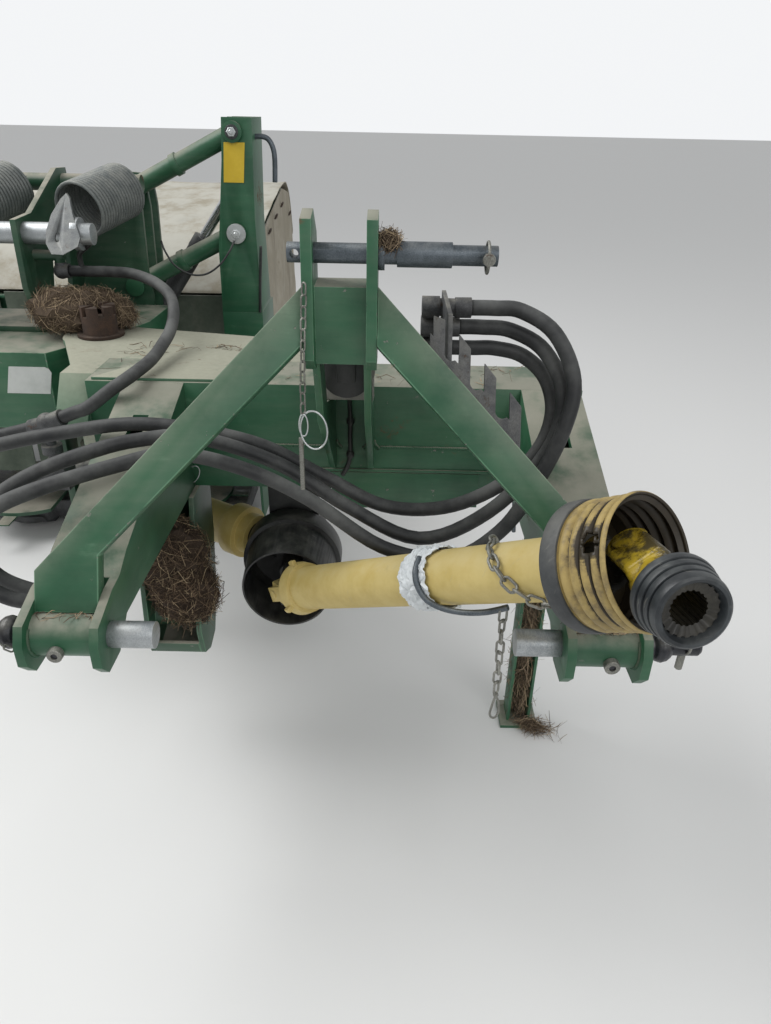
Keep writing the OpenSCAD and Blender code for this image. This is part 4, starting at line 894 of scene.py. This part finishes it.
linch("right_linch_pin", at(470.5, 0, 648), (-0.02, 0, -1), 66)
linch("left_linch_pin", at(-470.5, 0, 648), (0.02, 0, -1), 66)
linch("top_linch_pin", at(186, 162, 1086), (0, 1, 0), 56, 0.4)
links("left_pin_chain", places((-470, -8, 652), (-452, -26, 640), (-436, -30, 622), (-424, -26, 610)),
      "headstock", 16, 9, 1.2)
links("mast_chain", places((-43, 146, 1057), (-46, 146, 1001), (-49, 146, 934), (-50, 146, 884)),
      "headstock", 18, 10, 1.25)
bright = bare_steel("bright zinc", (0.42, 0.44, 0.44), (0.62, 0.64, 0.64), 0.8, 0.28, 0.1, 0.2)
wire_ring("mast_ring", (-36, 146, 861), (18, 0, 3), (-4, 4, 26), 1.3)
wire_ring("pin_ring", (-50, 146, 868), (6, 0, 0), (0, 0, 16), 1.1)
flat_pin = block("flat_pin", (6.5, 5, 80), placed(-54, 146, 810), 1.6, 3)
give(flat_pin, zinc, "headstock")
SCREW = [(4.6, -2.6), (9.4, -2.6), (10.3, -1.6), (10.3, 7), (4.6, 7), (4.6, -2.6)]
for side in (-1, 1):
    spot = placed(side * 364.5, -38, 612, -QUARTER)
    give(turned("clamp_screw", SCREW, spot, 32), zinc, "headstock")
    give(turned("clamp_socket", [(0, -0.7), (4.7, -0.7)], spot, 6), oiled, "headstock")


# The canister's cap stands in a pale collar, and a rubber strap with two knots ties it down
# to a hook on the beam. Weld beads close the beam's seam and the ribs' feet.
COLLAR = [(36, 318), (43, 318), (43.5, 320), (43.5, 338), (42, 340), (36, 340), (36, 318)]
collar = turned("canister_collar", COLLAR, placed(0, 0, 892, -QUARTER), 64)
give(collar, dusty, "headstock")
STRAP_WIDE = 0.0084
line = smooth(places((0, 345, 857), (-2, 372, 840), (-3, 440, 795), (-3, 468, 748), (-4, 473, 715),
                     (-4, 474, 680), (-9, 473, 656), (-19, 473, 637)), 6)
strap = give(tube("rubber_strap", line, STRAP_WIDE / 2, 12), black, "headstock")
laid(line)
KNOT = [(0, -8), (5, -7), (7.5, -3), (7.5, 3), (5, 7), (0, 8)]
knots = [turned("knot", KNOT, placed(*p), 20) for p in ((-3, 468, 748), (-4, 473, 680))]
give(joined("strap_knots", knots), black, "headstock")


def weld(name, line, radius=2.6):
    """A weld bead along a line, with its ripples."""
    dense = smooth(line, 30)
    swell = [(radius + 0.5 * math.sin(k * 1.3) + 0.6 * noise.noise(p * 90)) * MM
             for k, p in enumerate(dense)]
    give(tube(name, dense, swell, 8), green, "headstock")


for k, (x0, x1) in enumerate(((52, 262), (-270, -52))):
    weld("beam_weld_%d" % k, [at(x0 + (x1 - x0) * t / 8, 479.5, 693) for t in range(9)])
for k, x in enumerate((-35, 35)):
    for turn in (-1, 1):
        weld("rib_weld_%d_%d" % (k, turn),
             places((x + turn * 5, 477, 706), (x + turn * 8, 479, 697), (x + turn * 15, 479.5, 690)), 3.4)
for k, side in enumerate((-1, 1)):
    weld("arm_weld_%d" % k, [at(side * (304 + 107 * t / 6), 479, 807) for t in range(7)])
    for end, x in enumerate((314.5, 400.5)):
        ring = [at(side * x, 31 * math.cos(a / 24 * math.tau), 620 + 31 * math.sin(a / 24 * math.tau))
                for a in range(9, 26)]
        weld("boss_weld_%d_%d" % (k, end), ring, 2.4)
lock = rod("stand_lock_rod", at(311, 488, 616), at(320, 488, 512), 4, 16)
give(lock, blued, "headstock")
wire_ring("beam_wire_loop", (-303, 470, 632), (14, 0, 4), (4, 0, 18), 1.1)


# The relief springs: seventeen coils of grey wire each. A broad folded plate on the grey shaft
# is hooked into the near end by its slot, and a cross plate in the far end carries an eye on the
# cross tube.
def plate(name, corners, thick, finish, body):
    """A thin plate from the corners of its front, which is seen from the hitch."""
    shape = bmesh.new()
    front = [shape.verts.new(at(x, y, z)) for x, y, z in corners]
    rear = [shape.verts.new(at(x, y + thick, z)) for x, y, z in corners]
    shape.faces.new(front)
    shape.faces.new(rear[::-1])
    for k in range(len(front)):
        m = (k + 1) % len(front)
        shape.faces.new((front[m], front[k], rear[k], rear[m]))
    mesh = bpy.data.meshes.new(name)
    shape.to_mesh(mesh)
    shape.free()
    piece = tidy(shown(name, mesh))
    return give(applied(piece, "BEVEL", width=0.0003, segments=2), finish, body)


SPRING_WAY = Vector((55, 150, 30)) * MM
SPRING_LONG = SPRING_WAY.length
COILS = 17
COIL_STEPS = 26
COIL_RADIUS = 0.0567
FAR_SHARE = 0.97
spring_grey = bare_steel("spring grey", (0.085, 0.097, 0.095), (0.19, 0.20, 0.19), 0.25, 0.48, 0.35,
                         0.7)
eye_grey = bare_steel("eye plate grey", (0.10, 0.108, 0.11), (0.20, 0.21, 0.21), 0.35, 0.46, 0.5, 0.6)
EYE = [(19.1, 0), (30.5, 0), (32, 1.5), (32, 14.5), (30.5, 16), (19.1, 16), (19.1, 0)]
EYE_PLATE = [(-621, 853, 1071), (-610, 861, 1082), (-603, 856, 1075), (-594, 835, 1047),
             (-573, 802, 1003), (-576, 791, 988), (-605, 780, 973), (-629, 781, 974),
             (-642, 794, 992), (-644, 812, 1016), (-637, 833, 1044)]
for name, dx in (("spring_right", 0), ("spring_left", -250)):
    near = at(-606 + dx, 892, 1043)
    lay = along(near, near + SPRING_WAY)
    line = []
    for k in range(COILS * COIL_STEPS + 1):
        turn = math.tau * k / COIL_STEPS
        rise = 0.005 + (SPRING_LONG - 0.010) * k / (COILS * COIL_STEPS)
        line.append(lay @ Vector((COIL_RADIUS * math.cos(turn), COIL_RADIUS * math.sin(turn), rise)))
    coil = give(tube(name + "_coil", line, 0.0039, 10), spring_grey, "boom")
    ring = at(-596 + dx, 1088, 1083)
    spot = near + SPRING_WAY * FAR_SHARE
    reach = (spot - ring).length / MM
    parts = [turned("eye", EYE, placed(-604 + dx, 1088, 1083, QUARTER, "Y"), 40),
             block("plate", (58, 100, 7), lay @ shift(0, 0, SPRING_LONG / MM * FAR_SHARE), 1.2, 2)]
    for side in (-1, 1):
        between = along(ring, spot) @ shift(side * 9, side * 5, reach / 2)
        parts.append(block("cheek", (30, 7, reach), between, 1.2, 2))
    plates = joined(name + "_plates", parts)
    give(tidy(plates, 40, False), spring_grey, "boom")
    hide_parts(name)
    folded = plate(name + "_eye_plate", [(x + dx, y, z) for x, y, z in EYE_PLATE], 7, eye_grey, "boom")
    slot_place = placed(-620 + dx, 802, 1003, QUARTER) @ Matrix.Diagonal((0.62, 0.95, 1, 1))
    cutter = turned("cutter", [(0, -60), (9, -60), (9, 60), (0, 60)], slot_place, 32)
    applied(folded, "BOOLEAN", object=cutter, operation="DIFFERENCE", solver="EXACT")
    bpy.data.objects.remove(cutter)


# On the post: washers and heads on its two pins, a blank yellow plate, the hoop that one steers
# it by and a black strap. A thin cable runs from its lower pin to the cylinder. On the boom: a
# pale blank plate, and the pipe that rises from the hose's tee.
post = frame["nodes"]["mower_post"]["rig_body"]
boom = frame["nodes"]["boom_box"]["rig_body"]
for name, x, z, wide, steel in (("low_pin", -314.3, 972, 23, bright),
                                ("up_pin", -308.3, 1194, 15, dark_steel)):
    spot = placed(x, 1118.4, z, QUARTER)
    washer = turned(name + "_washer", [(8, 0), (wide, 0), (wide + 0.6, 1.4), (wide, 2.6),
                                       (wide - 5, 3), (8, 3)], spot, 40)
    head = turned(name + "_head", [(0, 3), (11, 3), (11, 8), (9.5, 9), (0, 9)], spot, 6)
    stud = turned(name + "_stud", [(0, 9), (5, 9), (5, 11), (4, 12), (0, 12)], spot, 20)
    give(washer, steel, post)
    give(joined(name, [head, stud]), bright, post)
sign_yellow = plastic("sign yellow", (0.52, 0.36, 0.02), (0.62, 0.44, 0.03), 0.4, 0.4, 0.0)
sign_pale = plastic("sign pale", (0.38, 0.40, 0.38), (0.50, 0.52, 0.50), 0.45, 0.7, 0.05)
POST_FACE = 1126.5
BOOM_FACE = 692.2
POST_SIGN = [(-330, 1172), (-337, 1086), (-289, 1086), (-281, 1172)]
BOOM_SIGN = [(-723, 764), (-738, 706), (-647, 706), (-636, 752), (-640, 760), (-648, 764)]
plate("post_sign", [(x, POST_FACE, z) for x, z in POST_SIGN], 0.9, sign_yellow, post)
plate("boom_sign", [(x, BOOM_FACE, z) for x, z in BOOM_SIGN], 0.9, sign_pale, boom)
hoop = smooth(places((-272, 1170, 1182), (-248, 1170, 1184), (-232, 1170, 1178), (-222, 1170, 1160),
                     (-219, 1170, 1135), (-221, 1170, 1085)), 8)
give(tube("hoop_handle", hoop, 0.0062, 14), blued, post)
pipe = smooth(places((-603, 866, 925), (-606, 866, 946), (-603, 862, 962), (-588, 856, 974),
                     (-574, 850, 984)), 6)
give(tube("tee_pipe", pipe, 0.0055, 12), black, boom)
edge = smooth(places((-257, 1124, 944), (-260, 1122, 900), (-264, 1122, 850), (-267, 1122, 800),
                     (-269, 1122, 782)), 6)
give(tube("post_strap", edge, 0.0035, 8), black, post)
CABLE_WIDE = 0.0048
line = smooth(places((-318, 1106, 958), (-330, 1098, 934), (-356, 1092, 902), (-392, 1092, 880),
                     (-432, 1098, 878), (-470, 1108, 896), (-494, 1122, 926), (-505, 1134, 950)), 8)
cable = give(tube("thin_cable", line, CABLE_WIDE / 2, 10), rubber, post)
laid(line)


# The mower's hood is canvas drawn over steel ribs, painted pale on what faces up as if lit by the sky,
# and its inner side hangs down grey brown with rusty eyelet slots and a few tears. The front curtains are
# dark rubberised cloth, with the same painted pale light on what faces up. Each is one thin sheet with
# its folds.
CLOTH = 3
LOW_EDGE = 240
INNER_SIDE = -320.5
OUTER_SIDE = -3304.3
FRONT = 1286


def hung(name, rows, finish, body, flat, cut=None):
    """A skin with its finish, going with a body."""
    piece = give(skin(name, rows, CLOTH * MM, cut), finish, body)
    return piece


def cloth_finish(name, low, high, stain, worn=1.0):
    f = Finish(name, Specular_IOR_Level=0.25)
    broad = f.cloud(2.4, 5, 0.62)
    mid = f.cloud(13, 6, 0.66)
    weave = f.cloud(900, 2)
    runs = f.cloud(10, 5, 0.62, f.stretched(1, 1, 0.12))
    colour = f.mix(low, high, f.step(broad * 0.5 + mid * 0.5, 0.36, 0.64))
    colour = f.mix(colour, stain, f.step(runs * 0.7 + mid * 0.3, 0.52, 0.68, 0.55) * worn)
    colour = f.mix(colour, (0.10, 0.055, 0.03), f.step(f.cloud(19, 7, 0.7), 0.66, 0.73, 0.7) * worn)
    # Painted light: what faces up is mixed in patches towards a pale grey, as the sky lights it.
    colour = f.mix(colour, (0.43, 0.43, 0.39), f.upward(0.3, 0.95) * f.step(mid, 0.3, 0.6, 0.65))
    f.set(Base_Color=colour, Roughness=0.82 + weave * 0.12)
    return f.bump(weave * 0.15 + mid * 0.6, 0.0012)


pale_canvas = cloth_finish("canvas", (0.27, 0.245, 0.19), (0.37, 0.34, 0.28), (0.12, 0.095, 0.065))
dark_cloth = cloth_finish("dark cloth", (0.055, 0.070, 0.054), (0.115, 0.135, 0.105),
                          (0.15, 0.145, 0.115), 0.8)
HOOD = [(1291, 790), (1321, 817), (1502, 917), (2000, 1006), (2178, 977), (2257, 849), (2259, 812)]
HOOD_LEFT = -3297
HOOD_WIDE = 2978
FIRST_RIB = -3298
RIB_PITCH = 744.5
profile = smooth([Vector((0, y, z)) for y, z in HOOD], 7)
rows = []
for k in range(121):
    x = HOOD_LEFT + HOOD_WIDE * k / 120
    sag = 7 * math.sin(math.pi * ((x - FIRST_RIB) / RIB_PITCH % 1)) ** 1.5
    row = []
    for i, p in enumerate(profile):
        edge = min(1, i / 5, (len(profile) - 1 - i) / 5)
        crease = noise.noise(Vector((x * 0.006, p.y * 0.012, 3))) * 4
        crease += noise.noise(Vector((x * 0.02, p.y * 0.03, 8))) * 2
        row.append(at(x, p.y, p.z + (crease - sag) * edge))
    rows.append(row)
hood = hung("hood_canvas", rows, pale_canvas, "mower", (2.98, length(profile) * MM))
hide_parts("canopy")
dressed("canopy", rusty, keep=lambda c: c.x < at(FIRST_RIB - 0.2, 0, 0).x)


def hood_height(y):
    """Height of the hood's underside over a place along the machine."""
    (y0, z0), (y1, z1) = next(pair for pair in zip(HOOD, HOOD[1:]) if y <= pair[1][0])
    return z0 + (z1 - z0) * (y - y0) / (y1 - y0) - 6


rows = []
for k in range(71):
    y = 1328 + 918 * k / 70
    bottom = LOW_EDGE + 22 - 40 * math.sin(math.pi * k / 70)
    bottom += 5 * noise.noise(Vector((y * 0.02, 1, INNER_SIDE)))
    top = hood_height(y) - 3
    row = []
    for i in range(46):
        z = bottom + (top - bottom) * i / 45
        loose = min(1, (top - z) / 260)
        wave = math.sin(y * 0.031 + 4.8 * noise.noise(Vector((y * 0.004, z * 0.003, 1))))
        crease = noise.noise(Vector((y * 0.011, z * 0.016, 5)))
        row.append(at(INNER_SIDE + 6 * loose * (0.6 + 0.6 * wave + 0.7 * crease), y, z))
    rows.append(row)
rng = random.Random(5)
holes = [(at(-320, 1398 + rng.uniform(0, 90), z), 13, 5) for z in (872, 700, 560, 455)]
holes += [(at(-320, 1350, 640), 9, 26), (at(-320, 1372, 520), 8, 30)]


def in_hole(c):
    """Whether a place on the inner side lies in one of its tears."""
    return any(((c.y - spot.y) / (wide * MM)) ** 2 + ((c.z - spot.z) / (tall * MM)) ** 2 < 1
               for spot, wide, tall in holes)


inner = hung("side_canvas", rows, pale_canvas, "mower", (0.92, 0.78),
             in_hole)
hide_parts("inner_curtain")
slots = []
for y, z in ((1352, 805), (1420, 838), (1520, 885), (1650, 905), (1345, 700),
             (1350, 590), (1356, 470), (1800, 930), (1950, 950), (2150, 900)):
    ring = []
    for t in range(24):
        a = math.tau * t / 24
        ring.append(at(-313 + 2.5 * math.sin(a), y + 15 * math.cos(a) * (1 + 0.5 * abs(math.sin(a))),
                       z + 7 * math.sin(a)))
    slots.append(tube("slot", ring, 0.0022, 8, True))
give(joined("eyelet_slots", slots), rusty, "mower")
OUTER_CANVAS = -3299
FOOT = 796
rows = []
for y in range(1306, 2250, 16):
    foot = at(OUTER_CANVAS - 1.5 * noise.noise(Vector((y, FOOT, 1)) * 0.01), y, FOOT)
    rise = hood_height(y) + 4 - FOOT
    rows.append([foot] + [at(OUTER_CANVAS, y, FOOT + rise * i / 12) for i in range(1, 13)])
hung("outer_side_canvas", rows, pale_canvas, "mower", (0.95, 0.21))


def front_rows(x0, x1, top, seed):
    """Rows of a front sheet from one side to the other, hanging from its top."""
    made = []
    count = int((x1 - x0) / 13)
    for k in range(count + 1):
        x = x0 + (x1 - x0) * k / count
        row = []
        for i in range(36):
            z = LOW_EDGE + (top - LOW_EDGE) * i / 35
            loose = min(1, (top - z) / 240)
            bend = 4.9 * noise.noise(Vector((x * 0.003, z * 0.004, seed)))
            fold = math.sin(x * 0.042 + bend) * 0.6 + noise.noise(Vector((x * 0.012, z * 0.01, seed)))
            row.append(at(x, FRONT - CLOTH / 2 - 5 * loose * (0.5 + 0.5 * fold), z))
        made.append(row)
    return made


shaft = at(-596, 0, 418)
carrier = at(-367, 0, 657)


def for_shaft(c):
    """The round opening for the cross shaft, and the corner that the carrier takes."""
    return (math.hypot(c.x - shaft.x, c.z - shaft.z) < 0.05
            or (c.x > carrier.x and c.z > carrier.z))


apron = hung("front_curtain", front_rows(-1000, -324, 785, 2), dark_cloth, "mower",
             (0.68, 0.545), for_shaft)
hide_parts("front_apron")
guard = hung("front_guard_cloth", front_rows(-3267, -1017, 769, 9), dark_cloth, "front_guard",
             (2.25, 0.53))
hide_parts("front_guard")
dressed("front_guard", rusty, keep=lambda c: c.y > at(0, FRONT + 3.2, 0).y)
FLAP_TOP = 799
rows = []
for k in range(61):
    y = 1301 + 946 * k / 60
    row = []
    for i in range(31):
        z = LOW_EDGE + (FLAP_TOP - LOW_EDGE) * i / 30
        loose = min(1, (FLAP_TOP - z) / 260)
        fold = math.sin(y * 0.036 + 3 * noise.noise(Vector((y * 0.003, z * 0.004, 4))))
        row.append(at(OUTER_SIDE - CLOTH - 5 * loose * fold, y, z))
    rows.append(row)
flap = hung("outer_guard_cloth", rows, pale_canvas, "outer_guard", (0.95, 0.56))
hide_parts("outer_guard")
dressed("outer_guard", galvanised, keep=lambda c: abs(c.x - at(OUTER_SIDE, 0, 0).x) > 0.0026)


# Old hay lies where the machine gathered it: a ball of it in the trough, painted dark as shade,
# wisps in the stand's channel, a bed before the boom, and straws and seeds on the flat places.
def straws(name, hay, spots, body, seed, thin=0.0006):
    """Bent straws, each from a spot: (place, way, length). A face value shades each one."""
    rng = random.Random(seed)
    verts, faces, tones = [], [], []
    for place, way, long in spots:
        way = way.normalized()
        side = way.orthogonal().normalized()
        over = way.cross(side)
        turn = rng.uniform(0, math.tau)
        bow = (side * math.cos(turn) + over * math.sin(turn)) * long * rng.uniform(0.02, 0.28)
        wide = thin * rng.uniform(0.5, 1.6)
        start = len(verts)
        for t, b, w in ((0, 0, 0.6), (0.5, 1, 1), (1, 0.1, 0.5)):
            middle = place + way * long * (t - 0.5) + bow * b
            for k in range(3):
                a = math.tau * k / 3 + turn
                spot = middle + (side * math.cos(a) + over * math.sin(a)) * wide * w
                spot.z = max(spot.z, 0.0004)
                verts.append(spot)
        for r in (0, 3):
            for k in range(3):
                m = (k + 1) % 3
                faces.append((start + r + k, start + r + m, start + r + 3 + m, start + r + 3 + k))
        faces += [(start + 2, start + 1, start), (start + 6, start + 7, start + 8)]
        tones += [rng.random()] * 8
    mesh = bpy.data.meshes.new(name)
    mesh.from_pydata(verts, [], faces)
    mesh.attributes.new("tone", "FLOAT", "FACE").data.foreach_set("value", tones)
    give(shown(name, mesh), hay, body)


def hay_finish(name, low, high):
    f = Finish(name, Roughness=0.85, Specular_IOR_Level=0.2)
    tone = f.mark("tone")
    patch = f.cloud(18, 4)
    colour = f.mix(low, high, f.step(tone * 0.55 + patch * 0.45, 0.3, 0.8))
    colour = f.mix(colour, (0.37, 0.285, 0.18), f.step(tone, 0.84, 0.93))
    f.set(Base_Color=colour)
    return f


# The trough's hay is a darker copy of the hay: its darker browns are painted shade.
shaded_hay = hay_finish("hay darkened for shade", (0.040, 0.028, 0.020), (0.18, 0.125, 0.080))
dry_hay = hay_finish("dry hay", (0.085, 0.062, 0.043), (0.30, 0.225, 0.150))
rng = random.Random(21)


def any_way(flatness=1.0):
    return Vector((rng.gauss(0, 1), rng.gauss(0, 1), rng.gauss(0, 1) * flatness))


def lump(name, hay, middle, radii, body, steps):
    """The dense heart of a clump of hay."""
    bpy.ops.object.select_all(action="DESELECT")
    bpy.ops.mesh.primitive_ico_sphere_add(subdivisions=steps, radius=1)
    piece = bpy.context.object
    piece.name = piece.data.name = name
    for v in piece.data.vertices:
        n = noise.fractal(v.co * 2.2 + middle * 9, 0.9, 2.1, 5) * 0.28
        v.co = middle + Vector([c * r * MM * (1 + n) for c, r in zip(v.co, radii)])
    give(piece, hay, body)


def clump(middle, radii, count, long):
    """Spots for the straws of a clump, matted along its skin."""
    made = []
    for _ in range(count):
        out = any_way().normalized()
        spot = middle + Vector([c * r * MM for c, r in zip(out, radii)]) * rng.uniform(0.72, 1.12)
        way = any_way().cross(out) + out * rng.gauss(0, 0.35)
        made.append((spot, way, rng.uniform(0.4, 1.2) * long))
    return made


def heap(name, hay, clumps, body, steps, count, long, seed):
    """Clumps beside one another: a heart for each, and all their straws as one piece."""
    spots = []
    for i, (middle, radii) in enumerate(clumps):
        lump("%s_heart_%d" % (name, i), hay, middle, radii, body, steps)
        spots += clump(middle, radii, count, long)
    straws(name, hay, spots, body, seed)


heap("trough_hay", shaded_hay, [(at(-340, 404, 486), (66, 40, 84)), (at(-352, 440, 420), (46, 50, 90)),
                             (at(-318, 390, 424), (56, 32, 70))], "headstock", 4, 2600, 0.055, 1)
spots = []
for _ in range(900):
    z = rng.uniform(12, 545)
    place = at(rng.uniform(362, 398), rng.uniform(494, 532), z)
    way = Vector((rng.gauss(0, 0.5), rng.gauss(0, 0.5), 1))
    spots.append((place, way, rng.uniform(0.03, 0.10)))
for _ in range(260):
    reach = abs(rng.gauss(0, 1))
    y = 480 - 20 * reach * rng.random()
    z = 5 + 20 * rng.random() / (1 + reach)
    spots.append((at(388 + 30 * reach, y, z), any_way(0.2), rng.uniform(0.02, 0.07)))
straws("stand_hay", dry_hay, spots, "stand", 2)
heap("boom_hay", dry_hay, [(at(-628, 812, 852), (78, 46, 44)), (at(-584, 844, 856), (62, 36, 32)),
                           (at(-548, 838, 842), (50, 34, 30))], "boom", 3, 2000, 0.05, 3)
on_mast = at(60, 190, 1102)
lump("mast_hay_heart", dry_hay, on_mast, (10, 15, 7), "headstock", 3)
straws("mast_hay", dry_hay, clump(on_mast, (13, 19, 9), 420, 0.03), "headstock", 4, 0.0005)
spots = []
for x0, x1, y0, y1, z, flatness, longest, count in (
        (-470, 400, 490, 612, 811.5, 0.05, 0.05, 90), (-470, -200, 640, 720, 812, 0.05, 0.05, 60),
        (-400, -310, -12, 12, 651, 0.1, 0.03, 30), (310, 405, -14, 14, 651, 0.15, 0.03, 160)):
    for _ in range(count):
        place = at(rng.uniform(x0, x1), rng.uniform(y0, y1), z)
        spots.append((place, any_way(flatness), rng.uniform(0.01, longest)))
straws("strewn_hay", dry_hay, spots, "headstock", 5)
